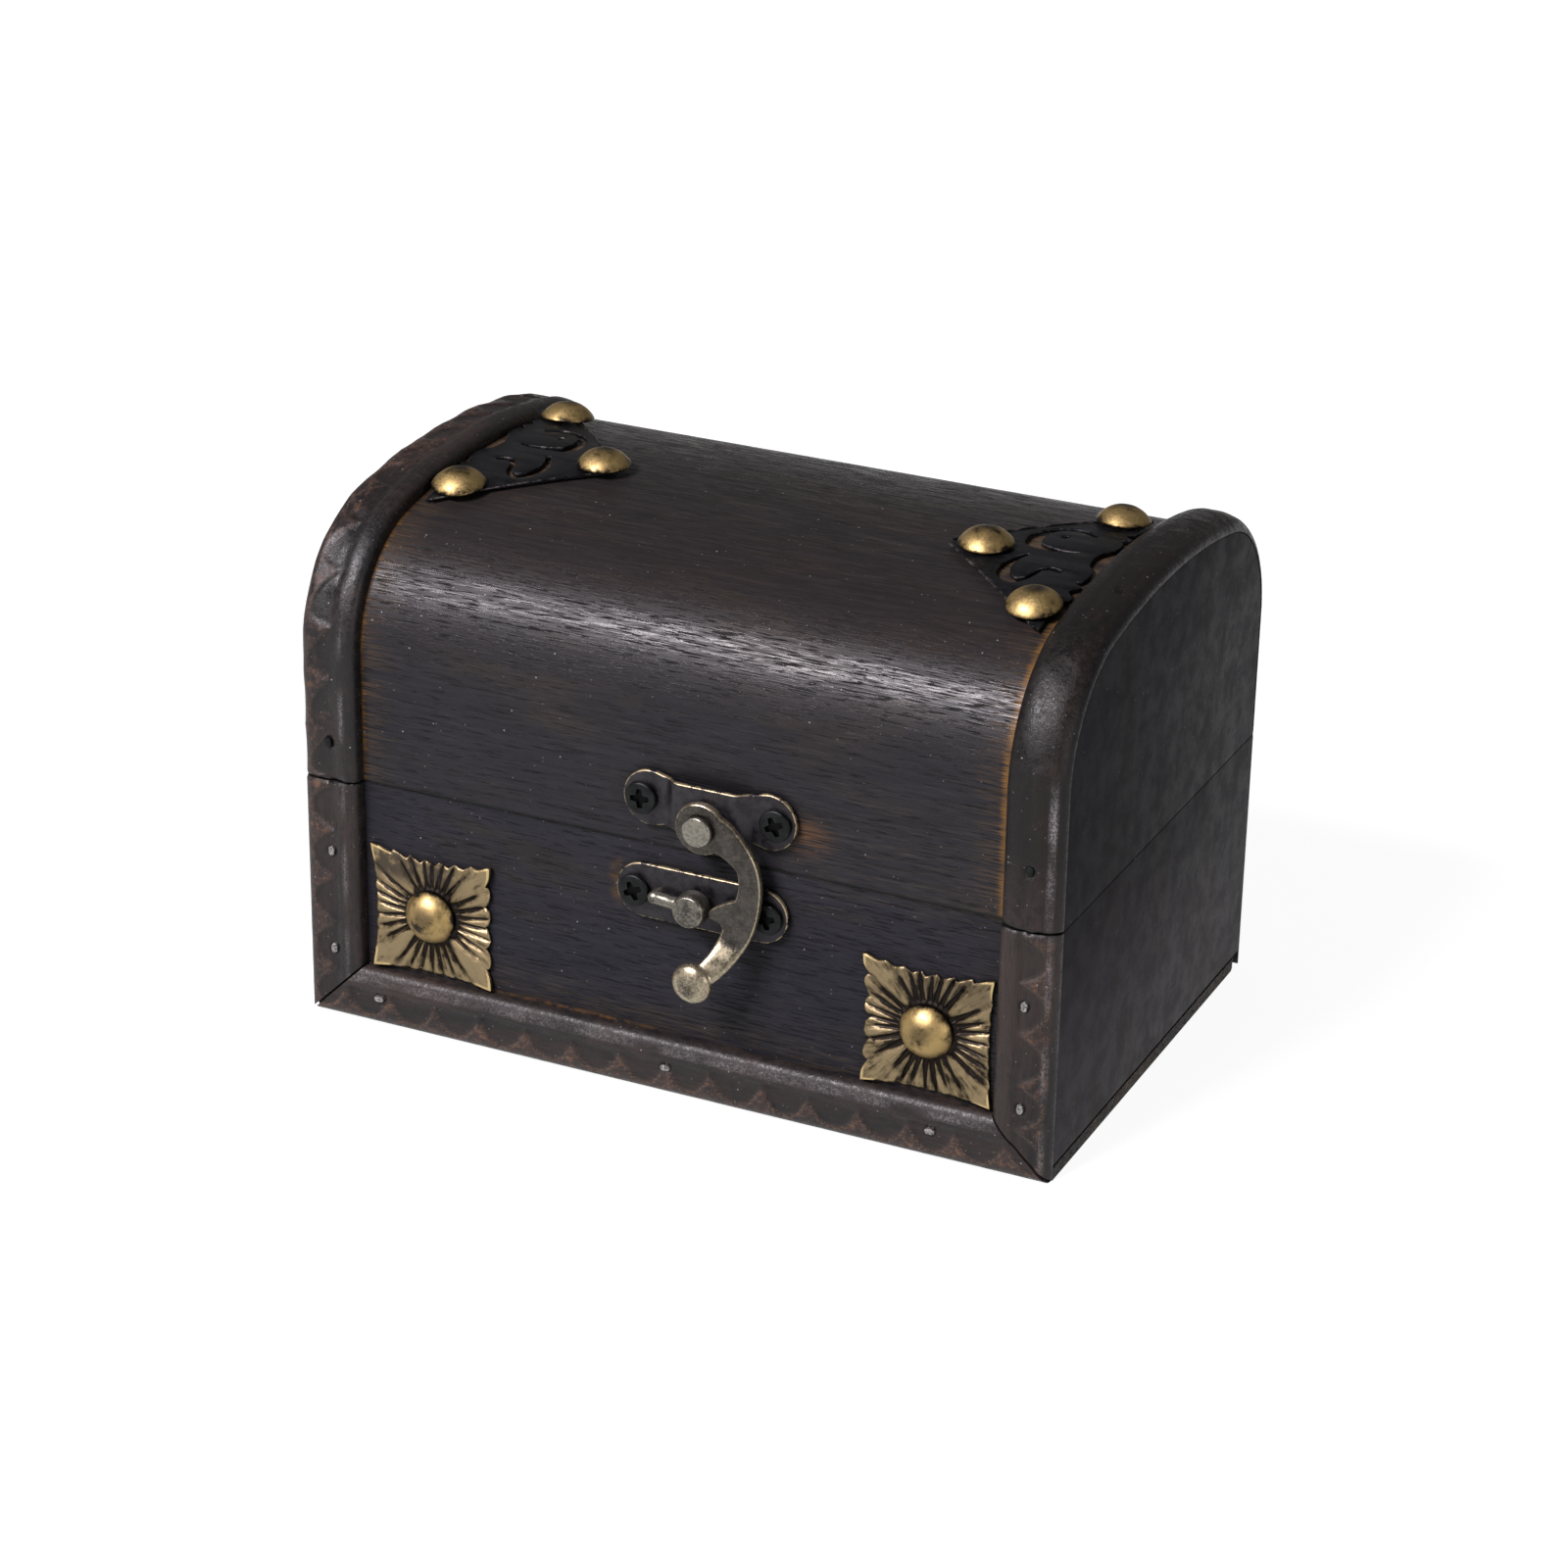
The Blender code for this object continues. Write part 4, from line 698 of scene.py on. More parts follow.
# The fourth column paints a pale highlight along one roll: its place across the moulding, its half width and how far
# along it reaches.
Carving = namedtuple("Carving", "cut wear rounds rub lean adze foot", defaults=(0.0, 0.0, 0.0))
WHOLE = 1.0
CARVINGS = {
    "left_arch": Carving(0.38 * MM, 0.55, (3.8, 3.8), (-0.52, 0.12, 26 * MM), lean=0.25, adze=0.34 * MM),
    "right_arch": Carving(0.10 * MM, 0.2, (2.4, 2.0), (0.66, 0.16, 24 * MM), foot=13 * MM),
    "left_post": Carving(0.45 * MM, 0.6, (3.8, 3.8), (-0.52, 0.12, WHOLE)),
    "right_post": Carving(0.50 * MM, 0.6, (3.2, 2.1), (0.72, 0.14, WHOLE)),
    "rail": Carving(0.55 * MM, 0.8, (3.2, 3.0), (-0.62, 0.20, WHOLE)),
}
BRAD_PLACES = {
    "base": [(-55.5, 11.39), (-55.5, 27.44), (55.5, 11.39), (55.5, 27.44), (-48.0, 4.5), (0.0, 4.5), (42.0, 4.5)],
    "lid": [(-55.5, 44.93), (55.5, 48.08)],
}
ARCH_DENTS = ((53.0, -28.6, 76.0), (55.6, -26.9, 77.2), (57.0, -15.0, 80.6))
SECTION_STEPS = 40


def section_places():
    """Places across a moulding, closer together at its rounded edges."""
    shares = [2 * i / SECTION_STEPS - 1 for i in range(SECTION_STEPS + 1)]
    return [math.copysign(1 - (1 - abs(share)) ** 1.6, share) * MOULDING_WIDTH / 2 for share in shares]


def carve(along, across, outer, seed, style):
    """A moulding's height at a place, and what shows there: worn stain, painted shade in a scoop, its pale rim, a
    painted highlight.
    """
    v = 2 * across / MOULDING_WIDTH * outer
    power = style.rounds[0 if v < 0 else 1]
    lift = (1 - min(1.0, abs(v)) ** power) ** (1 / power)
    phase = along / SCOOP_PITCH + 0.14 * waver(along / (11 * MM), seed, 3.1) + style.lean * v
    cell = math.floor(phase)
    local = phase - cell - 0.5
    size = 0.85 + 0.35 * waver(cell * 1.7, seed, 0.5)
    reach = 0.76 - 0.84 * abs(2 * local) ** 2.4
    inside = step_between(v, -0.40, -0.08) * step_between(reach - v, -0.02, 0.26)
    rough = waver(along / (2.5 * MM), across / (2.0 * MM), seed)
    near = noise.voronoi(Vector((along / (5.5 * MM), across / (3.6 * MM), seed)))[0][0]
    dish = style.adze * step_between(v, -0.55, -0.15) * max(0.0, 1 - (near / 0.75) ** 2)
    taken = (style.cut * inside * size + dish) * lift**0.5
    out = MOULDING_PROUD * lift - taken + 0.05 * MM * (rough - 0.5) * lift
    rim = step_between(abs(reach - v - 0.02), 0.12, 0.03) * step_between(v, -0.12, 0.12)
    cusp = step_between(v - reach, 0.0, 0.14) * step_between(abs(local), 0.18, 0.38) * step_between(v, 0.95, 0.70)
    flake = step_between(near, 0.55, 0.75) * step_between(v, -0.5, 0.1) * (style.adze > 0)
    # Painted highlight: a pale streak along one roll, in patches, up to a given length along the moulding.
    middle, half, length = style.rub
    patchy = step_between(waver(along / (7 * MM), seed, 9.0), -0.35, 0.25)
    rub = step_between(abs(v - middle), half, 0.3 * half) * step_between(along, length, 0.75 * length) * patchy
    foot = 0.8 * step_between(along, style.foot, 0.0) if style.foot else 0.0
    # Only scoops cut deep enough are darkened inside as painted shade.
    hollow_shade = inside * (style.cut > 0.2 * MM)
    return out, (style.wear * min(1.0, cusp + flake), hollow_shade, style.wear * rim, rub, foot)


def moulding_mesh(rows_of, outer, seed, style, pits=()):
    """A carved moulding from rows of places: along, across, distance to its ends, foot, outwards and relief."""
    bm, flow, layers = marked("flow", "worn", "hollow_shade", "scoop_rim", "rub", "foot", "pit_shade")
    rings = []
    kept = []
    for row in rows_of:
        ring = []
        for along, across, to_end, start, normal, relief in row:
            out, shown = carve(along, across, outer, seed, style)
            chip = 0.30 + 0.25 * waver(along / MM, across / (1.2 * MM), seed)
            out -= chip * MM * max(0.0, 1 - to_end / (0.5 * MM)) ** 2

            def point_at(height):
                height = max(MOULDING_SEAT, height)
                return start + height * normal + max(0.0, height - (MOULDING_PROUD - REAR_RELIEF)) * relief

            spot = point_at(out)
            # Dents are pushed into the surface; they and the ends by the seam are also marked for painted shade.
            deep = max([step_between((spot - place).length, 1.15 * MM, 0.6 * MM) for place in pits], default=0.0)
            ring.append(point_at(out - 0.35 * MM * deep))
            deep = max(deep, step_between(to_end, 0.5 * MM, 0.1 * MM))
            kept.append((Vector((along, across, seed * 0.05)), (*shown, deep)))
        rings.append(ring)
    for vert, (place, values) in zip(sum(skin(rings, bm)[1], []), kept):
        vert[flow] = place
        for layer, value in zip(layers, values):
            vert[layer] = value
    return bm


def arch_rows(middle_x):
    path = dome_path(0, CARVING_STEP)
    whole = path[-1][2]
    rows = []
    for (y, z), (out_y, out_z), along in path:
        to_end = min(along, whole - along)
        ways = Vector((0, out_y, out_z)), Vector((0, 0, max(0.0, 1 - (whole - along) / REAR_RELIEF_LENGTH)))
        rows.append([(along, v, to_end, Vector((middle_x + v, y, z)), *ways) for v in section_places()])
    return rows


def post_rows(side, face):
    count = math.ceil(BASE_TOP / CARVING_STEP)
    rows = []
    for i in range(count + 1):
        row = []
        for across in section_places():
            x = side * MOULDING_X + across
            foot = HALF_WIDTH - abs(x) + SEAT_GAP if face < 0 else 0.0
            z = foot + (BASE_TOP - foot) * i / count
            ways = Vector((0, face, 0)), Vector((0, 0, -i / count if face > 0 else 0.0))
            row.append((z, across, BASE_TOP - z, Vector((x, face * HALF_DEPTH, z)), *ways))
        rows.append(row)
    return rows


def rail_rows():
    count = math.ceil(2 * HALF_WIDTH / CARVING_STEP)
    rows = []
    for i in range(count + 1):
        row = []
        for across in section_places():
            z = MOULDING_WIDTH / 2 + across
            x = (HALF_WIDTH - z - SEAT_GAP / 2) * (2 * i / count - 1)
            row.append((x, across, 1.0, Vector((x, -HALF_DEPTH, z)), Vector((0, -1, 0)), Vector()))
        rows.append(row)
    return rows


def make_mouldings(looks):
    pits = {
        body: [Vector((x * MM, -HALF_DEPTH - MOULDING_PROUD, z * MM)) for x, z in places]
        for body, places in BRAD_PLACES.items()
    }
    pits["lid"] += [Vector(place) * MM for place in ARCH_DENTS]
    for side, name in SIDES:
        arch = f"{name}_arch"
        bm = moulding_mesh(arch_rows(side * MOULDING_X), side, 1.0 + side, CARVINGS[arch], pits["lid"])
        shape("carved_" + arch, bm, looks[arch], "lid", "moulding", "lid_" + arch)
        for face, where, seed in ((-1, "front", 5.0), (1, "back", 8.0)):
            post = f"{where}_{name}_post"
            dents = pits["base"] if face < 0 else ()
            bm = moulding_mesh(post_rows(side, face), side, seed + side, CARVINGS[f"{name}_post"], dents)
            shape("carved_" + post, bm, looks["moulding"], "base", "moulding", "base_" + post)
    bm = moulding_mesh(rail_rows(), -1, 11.0, CARVINGS["rail"], pits["base"])
    shape("carved_front_rail", bm, looks["moulding"], "base", "moulding", "base_front_rail")


def make_brads(looks):
    """Oblong brad heads, slightly crowned, set in small pits of the mouldings; the lid's are stained over."""
    outline = arc((0.3 * MM, 0), 0.5 * MM, -math.pi / 2, math.pi / 2, 8)
    outline += arc((-0.3 * MM, 0), 0.5 * MM, math.pi / 2, 3 * math.pi / 2, 8)
    for body, places in BRAD_PLACES.items():
        material = looks["brad" if body == "base" else "screw"]
        for count, (x, z) in enumerate(places, 1):
            turn = Matrix() if z < MOULDING_WIDTH / MM else Matrix.Rotation(math.pi / 2, 4, "Z")
            bm = prism(outline, 4.0 * MM, on_front(x * MM, z * MM, MOULDING_PROUD - 4.15 * MM) @ turn)
            rim = [e for e in bm.edges if all(v.co.y < -HALF_DEPTH - 2 * MM for v in e.verts)]
            soften(bm, rim, 0.15 * MM)
            shape(f"{body}_brad_head_{count}", bm, material, body, "brad", f"{body}_brad_{count}")


# Tacks, plates and brackets

def make_tack(name, place, material, body, node, seed, sooty):
    """A domed head with small dents; its crown is kept as relief, and soot covers part of its top."""
    dome = TACK_HEIGHT - 0.3 * MM
    sphere = (TACK_RADIUS**2 + dome**2) / (2 * dome)
    spread = math.asin(TACK_RADIUS / sphere)
    profile = [(0, 0), (TACK_RADIUS - 0.15 * MM, 0), (TACK_RADIUS, 0.12 * MM), (TACK_RADIUS, 0.30 * MM)]
    for i in range(1, 21):
        turn = spread * (1 - i / 20)
        profile.append((sphere * math.sin(turn), TACK_HEIGHT - sphere + sphere * math.cos(turn)))
    bm = turned(profile, 56)
    roughen(bm, 1.6 * MM, 0.05 * MM, seed)

    def relief(vert):
        height = vert.co.z / TACK_HEIGHT
        return 0.25 + 0.65 * step_between(height, 0.0, 0.55) - 0.36 * step_between(height, 0.70, 0.97)

    centre = Vector((0.3 * MM * waver(seed, 1, 1), 0.9 * MM, TACK_HEIGHT))
    store(bm, "relief", relief)
    store(bm, "soot", lambda v: sooty * step_between((v.co - centre).length, 2.4 * MM, 0.7 * MM))
    place = place @ Matrix.Translation((0, 0, TACK_SEAT))
    shape(name, bm, material, body, "tack", node, place=place, angle=60)


def plate_reach(turn, side):
    """How far the stamped plate reaches in a direction: toothed above, lobed inwards, plainer by the mouldings."""
    x, y = math.cos(turn), math.sin(turn)
    upright = abs(x) > abs(y)
    most = max(abs(x), abs(y))
    along = (y if upright else x) / most
    point = 1 - step_between(abs(along), 0.80, 1.0)
    sag = 1 - along * along
    if (x * side > 0) if upright else (y < 0):
        bite = (0.25 + 0.55 * sag) * MM + 0.12 * MM * abs(math.sin(math.pi * along * 3.0)) * point
    elif upright:
        lobe = abs(math.cos(math.pi * (along * 2.7 + 0.5)))
        bite = (0.20 + 0.25 * sag) * MM + 0.95 * MM * (1 - lobe**0.55) * point
    else:
        saw = (along * side * 3.6 + 0.25) % 1.0
        tooth = saw / 0.72 if saw < 0.72 else (1 - saw) / 0.28
        bite = (0.20 + 1.05 * sag) * MM + 0.70 * MM * (1 - tooth) * point
    return (PLATE_SIDE / 2 - bite) / most


GROOVE_TURNS = (-34.5, -24.0, -13.0, -1.5, 9.0, 21.0, 33.0)


def plate_grooves(side):
    """Each stamped groove's turn and outer end; the wide leaves at the corners lie between the sides' groups."""
    made = []
    for quarter in range(4):
        for count, degrees in enumerate(GROOVE_TURNS):
            stray = waver(quarter * 3.1 + 0.5, count * 1.7 + 0.3, side)
            made.append((math.radians(degrees + 90 * quarter + 2.5 * stray), (9.2 + 1.5 * stray) * MM))
    return made


def groove_depth(turn, far, grooves):
    """How deep in a groove a place on the plate is, from 0 to 1, and how high on the leaf between two."""
    gap, end = min((abs((turn - middle + math.pi) % math.tau - math.pi), end) for middle, end in grooves)
    wide = max(0.08 * MM, (0.34 - 0.052 * (far / MM - 4.5)) * MM)
    sunk = step_between(gap * far, wide + 0.20 * MM, wide - 0.08 * MM)
    sunk *= step_between(far, 4.1 * MM, 4.7 * MM) * step_between(far, end + 1.0 * MM, end - 0.8 * MM)
    return sunk, step_between(gap * far, wide, wide + 0.8 * MM)


def make_corner_plate(name, side, material, node):
    """A stamped sunburst: grooves run out from the tack to a toothed edge and four pointed corners."""
    around = 336
    rings = 26
    inner = 3.0 * MM
    # Painted light: the left plate gets a brighter tone than the right, standing in for light that the left one
    # misses.
    bright = 0.66 if side < 0 else 0.44
    soot_share = 0.85 * (0.9 if side < 0 else 0.45)
    grooves = plate_grooves(side)
    bm, ray, (relief, soot) = marked("ray", "relief", "soot")
    grid = []
    for ring in range(rings + 1):
        share = ring / rings
        row = []
        for i in range(around):
            turn = math.tau * i / around
            far = inner + (plate_reach(turn, side) - inner) * share
            x, y = math.cos(turn), math.sin(turn)
            groove, leaf = groove_depth(turn, far, grooves)
            corner = step_between(far, 10.6 * MM, 13.4 * MM)
            lip = step_between(share, 0.92, 0.99) * (0.35 + corner)
            dish = 0.20 * MM * math.sin(math.pi * min(1.0, share * 1.05)) + 0.25 * MM * corner
            high = 0.60 * MM + dish + 0.22 * MM * leaf * (1 - groove) - 0.36 * MM * groove
            high += 0.10 * MM * lip - (0.12 * MM if ring == rings else 0.0)
            high = min(high, 1.02 * MM) if far < TACK_RADIUS + 0.3 * MM else high
            vert = bm.verts.new((far * x, far * y, high))
            vert[ray] = Vector((13.0 * x, 13.0 * y, far / (3.5 * MM) + 9.0 * side))
            tone = bright - 0.75 * (groove - 0.30 * leaf) - 0.7 * step_between(far, 4.9 * MM, 4.3 * MM)
            vert[relief] = min(1.3, tone + 0.6 * lip + 0.1 * corner)
            sooty = step_between(far * y, 3.6 * MM, 6.4 * MM) * step_between(-side * far * x, 7.0 * MM, 1.0 * MM)
            vert[soot] = soot_share * sooty * (1 - min(1.0, lip))
            row.append(vert)
        grid.append(row)
    low = [[bm.verts.new((*vert.co.xy, SEAT_GAP)) for vert in grid[k]] for k in (0, -1)]
    join_rows(bm, [low[0], *grid, low[1], low[0]])
    centre_x = side * (MOULDING_EDGE - (1.3 if side < 0 else 0.3) * MM - PLATE_SIDE / 2)
    place = on_front(centre_x, MOULDING_WIDTH + 0.3 * MM + PLATE_SIDE / 2)
    shape(name, bm, material, "base", "stamped", node, place=place, angle=70)
    return place


BRACKET_EDGE_SHARES = (
    (0.00, -0.036), (0.10, -0.020), (0.18, 0.030), (0.27, 0.045), (0.35, 0.030), (0.38, -0.014),
    (0.44, 0.058), (0.50, 0.000), (0.60, 0.060), (0.64, 0.000),
)
SCROLL_SHARES = (
    (
        (0.16, 0.40, 0.018), (0.27, 0.47, 0.022), (0.38, 0.47, 0.024), (0.46, 0.41, 0.030), (0.51, 0.29, 0.048),
        (0.49, 0.15, 0.050), (0.41, 0.10, 0.036), (0.32, 0.07, 0.024), (0.23, 0.055, 0.020), (0.155, 0.07, 0.016),
    ),
    (
        (0.44, -0.04, 0.018), (0.49, -0.13, 0.026), (0.51, -0.26, 0.036), (0.48, -0.37, 0.044), (0.40, -0.44, 0.036),
        (0.33, -0.40, 0.022), (0.30, -0.33, 0.018), (0.28, -0.26, 0.020), (0.22, -0.23, 0.024), (0.14, -0.26, 0.018),
    ),
)
BRACKET_HALF = 22.0 * MM
BRACKET_DEPTH = 21.8 * MM
BRACKET_SHEET = 0.5 * MM
BRACKET_LEAN = -2.6 * MM
BRACKET_SHIFTS = {-1: 0.3 * MM, 1: -3.5 * MM}
APEX_TACK_SHARES = {-1: 0.88, 1: 0.75}


def slot_outline(points):
    route = smooth_route([[value * BRACKET_HALF for value in point] for point in points], 5)
    edges = [
        [(p[0] + turn * s[0] * p[2], p[1] + turn * s[1] * p[2]) for p, s in zip(route, side_steps(route))]
        for turn in (1, -1)
    ]
    return edges[0] + edges[1][::-1]


def bracket_outline():
    wave = smooth_route(BRACKET_EDGE_SHARES, 4)
    upper = [(-point[1] * BRACKET_HALF, point[0] * BRACKET_HALF) for point in wave]
    lower = [(x, -y) for x, y in reversed(upper[1:])]
    return lower + upper + [(0.0, BRACKET_HALF), (BRACKET_DEPTH, 0.0), (0.0, -BRACKET_HALF)]


def bend(bm, step, out):
    """Slice a flat piece across and wrap it round the crown."""
    heights = [vert.co.y for vert in bm.verts]
    low, high = min(heights), max(heights)
    count = math.ceil((high - low) / step)
    for i in range(1, count):
        slice_across(bm, (0, low + (high - low) * i / count, 0), (0, 1, 0))
    for vert in bm.verts:
        vert.co = on_crown(vert.co.x, vert.co.y, out + vert.co.z).translation


def leg_bead(start, end, flat):
    """A low half-round lip along a straight leg of the bracket."""
    a, b = Vector(start), Vector(end)
    ahead = (b - a).normalized()
    side = Vector((-ahead.y, ahead.x))
    rings = []
    for i in range(13):
        middle = a.lerp(b, i / 12)
        ring = []
        for j in range(8):
            turn = math.tau * j / 8
            spot = middle + side * 0.22 * MM * math.cos(turn)
            ring.append(flat @ Vector((*spot, BRACKET_SHEET + 0.16 * MM * math.sin(turn))))
        rings.append(ring)
    bm = skin(rings)[0]
    bmesh.ops.recalc_face_normals(bm, faces=bm.faces)
    store(bm, "rim", lambda v: 0.50)
    return bm


def make_bracket(name, side, material, node):
    """Black pierced sheet, wrapped round the crown beside the arch; returns where its tacks sit."""
    line_x = MOULDING_EDGE - 1.7 * MM
    shift = BRACKET_SHIFTS[side]
    lean = Matrix.Identity(4)
    lean[1][0] = BRACKET_LEAN / BRACKET_DEPTH
    flat = Matrix.Translation((side * line_x, shift, 0)) @ Matrix.Scale(-side, 4, (1, 0, 0)) @ lean
    low = flat @ Matrix.Translation((0, 0, -1 * MM))
    dot = arc((0.34 * BRACKET_HALF, 0.32 * BRACKET_HALF), 0.6 * MM, 0, math.tau, 20)[:-1]
    slots = [dot] + [slot_outline(route) for route in SCROLL_SHARES]
    sheet = without(prism(bracket_outline(), BRACKET_SHEET, flat), *[prism(slot, 3 * MM, low) for slot in slots])
    bmesh.ops.dissolve_limit(sheet, angle_limit=math.radians(1), verts=sheet.verts, edges=sheet.edges)
    sharp = [e for e in sheet.edges if len(e.link_faces) == 2 and e.calc_face_angle(0) > 1.0]
    rim = [e for e in sharp if min(v.co.z for v in e.verts) > 0.4 * MM]
    soften(sheet, rim, 0.09 * MM, clamp_overlap=True)
    sheet.normal_update()
    store(sheet, "rim", lambda v: step_between(v.normal.z, 0.97, 0.80) * (0.50 if v.co.z > 0.25 * MM else 0.1))
    half = BRACKET_HALF - 0.30 * MM
    reach = BRACKET_DEPTH - 0.30 * MM
    beads = [leg_bead((0.7 * MM, turn * half), (reach, turn * 0.7 * MM), flat) for turn in (-1, 1)]
    whole = merged(sheet, *beads)
    bend(whole, 1.6 * MM, SEAT_GAP)
    shape(name, whole, material, "lid", "black", node, angle=50)
    tack_x = side * (MOULDING_EDGE - SEAT_GAP - TACK_RADIUS - 0.1 * MM)
    spread = 0.765 * BRACKET_HALF
    share = APEX_TACK_SHARES[side]
    return {
        "front": on_crown(tack_x, shift - spread),
        "back": on_crown(tack_x, shift + spread),
        "apex": on_crown(side * (line_x - share * BRACKET_DEPTH), shift + share * BRACKET_LEAN),
    }


# Latch

# Profiles of turned parts as (radius, height), in millimetres
EYE_PROFILE = ((0, -0.65), (3.6, -0.65), (4.0, -0.35), (4.0, 0.45), (3.75, 0.78), (3.4, 0.85), (0, 0.85))
BORE_PROFILE = ((0, -3), (1.4, -3), (1.4, 3), (0, 3))
KNOB_PROFILE = ((0, 2.0), (2.2, 2.0), (2.6, 2.4), (2.6, 4.6), (2.35, 5.1), (1.7, 5.2), (0, 5.2))
ROD_FOOT_PROFILE = ((0, 0.3), (1.0, 0.3), (1.0, 2.9), (0.5, 3.4), (0, 3.4))
RIVET_BACK = 4.6
RIVET_FRONT = 5.5
RIVET_PROFILE = (
    (0, 0.8), (1.7, 0.8), (1.7, 1.3), (1.1, 1.3), (1.1, RIVET_BACK), (2.2, RIVET_BACK), (2.3, RIVET_BACK + 0.1),
    *arc((1.95, RIVET_FRONT - 0.35), 0.35, 0.0, math.pi / 2, 6), (1.0, RIVET_FRONT), (0, RIVET_FRONT),
)
HOOK_ROUTE_SHARES = (
    (0.000, 0.000, 0.140, 0.00), (0.122, -0.028, 0.126, 0.00), (0.236, -0.104, 0.096, 0.00),
    (0.320, -0.208, 0.078, 0.00), (0.344, -0.334, 0.079, 0.00), (0.326, -0.474, 0.088, 0.00),
    (0.284, -0.610, 0.098, 0.00), (0.236, -0.730, 0.094, 0.10), (0.180, -0.840, 0.084, 0.50),
    (0.106, -0.930, 0.076, 0.88), (0.024, -1.000, 0.066, 1.00),
)
SPUR_SHARES = (
    (0.300, -0.430), (0.225, -0.452), (0.140, -0.495), (0.078, -0.540), (0.062, -0.572),
    (0.078, -0.598), (0.120, -0.612), (0.150, -0.630), (0.168, -0.672), (0.220, -0.720), (0.300, -0.640),
)


def strip_outline(waist):
    """A strip with round ends, drawn in a little beside its middle."""
    reach = (STRIP_LENGTH - STRIP_WIDTH) / 2
    right = arc((reach, 0), STRIP_WIDTH / 2, -math.pi / 2, math.pi / 2, 28)
    left = arc((-reach, 0), STRIP_WIDTH / 2, math.pi / 2, 3 * math.pi / 2, 28)
    top = [(reach - 2 * reach * i / 36, STRIP_WIDTH / 2) for i in range(1, 36)]
    bottom = [(-x, -y) for x, y in top]
    drawn = []
    for x, y in right + top + left + bottom:
        pull = waist * (step_between(abs(x), 9.2 * MM, 6.4 * MM))
        drawn.append((x, y - math.copysign(pull, y) if abs(y) > pull else y))
    return drawn


def make_strip(name, place, material, body, node, waist=0.0, rise=0.0, worn_ramp=1.0):
    """A stamped latch plate, which may rise to a bridge; its rim is bright, and its ramps stay duller."""
    bm = prism(strip_outline(waist), STRIP_THICKNESS)
    soften(bm, [e for e in bm.edges if all(v.co.z > 0.7 * MM for v in e.verts)], 0.22 * MM, 3)
    if rise:
        for i in range(9):
            for side in (-1, 1):
                slice_across(bm, (side * (4.6 + 0.3 * i) * MM, 0, 0), (1, 0, 0))
        for vert in bm.verts:
            vert.co.z += rise * step_between(abs(vert.co.x), 7.0 * MM, 4.6 * MM)
    bm.normal_update()

    def rim(vert):
        edge = step_between(vert.normal.z, 0.985, 0.86) if vert.normal.z > -0.2 else 0.15
        on_ramp = 4.4 * MM < abs(vert.co.x) < 7.2 * MM and vert.normal.z > 0.6 and abs(vert.co.y) < 3.9 * MM
        return min(edge, worn_ramp) if on_ramp else edge

    store(bm, "rim", rim)
    shape(name, bm, material, body, "bronze", node, place=place, angle=60)


def make_screw(name, place, tilt, material, body, node):
    """A low domed head with a crosshead recess."""
    radius, high = SCREW_RADIUS, SCREW_HEIGHT
    profile = [(0, 0), (radius - 0.1 * MM, 0), (radius, 0.1 * MM), (radius, 0.4 * high)]
    for i in range(1, 8):
        turn = math.pi / 2 * i / 7
        profile.append((radius - 0.35 * MM * (1 - math.cos(turn)), 0.4 * high + 0.45 * high * math.sin(turn)))
    profile.append((0, high))
    long, wide = 0.60 * radius, 0.15 * radius
    cross = []
    for quarter in range(4):
        turn = Matrix.Rotation(quarter * math.pi / 2, 2)
        cross += [tuple(turn @ Vector(point)) for point in ((long, -wide), (long, wide), (1.5 * wide, 1.5 * wide))]
    tool = prism(cross, high, Matrix.Rotation(tilt, 4, "Z") @ Matrix.Translation((0, 0, 0.30 * high)))
    bm = without(turned(profile, 40), tool)
    bm.normal_update()

    def rim(vert):
        # Corners inside the cross recess get -1.5, which the material paints black as shade.
        if 0.2 * high < vert.co.z < 0.5 * high and vert.co.xy.length < 0.7 * radius:
            return -1.5
        return 0.30 * step_between(vert.normal.z, 0.9, 0.5) if vert.co.z > 0.3 * high else 0.0

    store(bm, "rim", rim)
    shape(name, bm, material, body, "screw", node, place=place, angle=35)


def make_rivet(material):
    bm = turned(in_mm(RIVET_PROFILE), 48)
    roughen(bm, 1.0 * MM, 0.05 * MM, 4.0)
    bm.normal_update()
    store(bm, "rim", lambda v: 1.0 if v.co.z > RIVET_BACK * MM else 0.2)
    shape("hook_rivet", bm, material, "lid", "worn", "latch_rivet", place=on_front(PIVOT_X, PIVOT_Z), angle=50)


def cast(parts, voxel, smoothing):
    """Fuse overlapping solids into one cast form with soft inner corners."""
    bm = applied(merged(*parts), ("REMESH", {"mode": "VOXEL", "voxel_size": voxel, "adaptivity": 0.0}))
    for _ in range(smoothing):
        bmesh.ops.smooth_vert(bm, verts=bm.verts, factor=0.5, use_axis_x=True, use_axis_y=True, use_axis_z=True)
    bm.normal_update()
    return bm


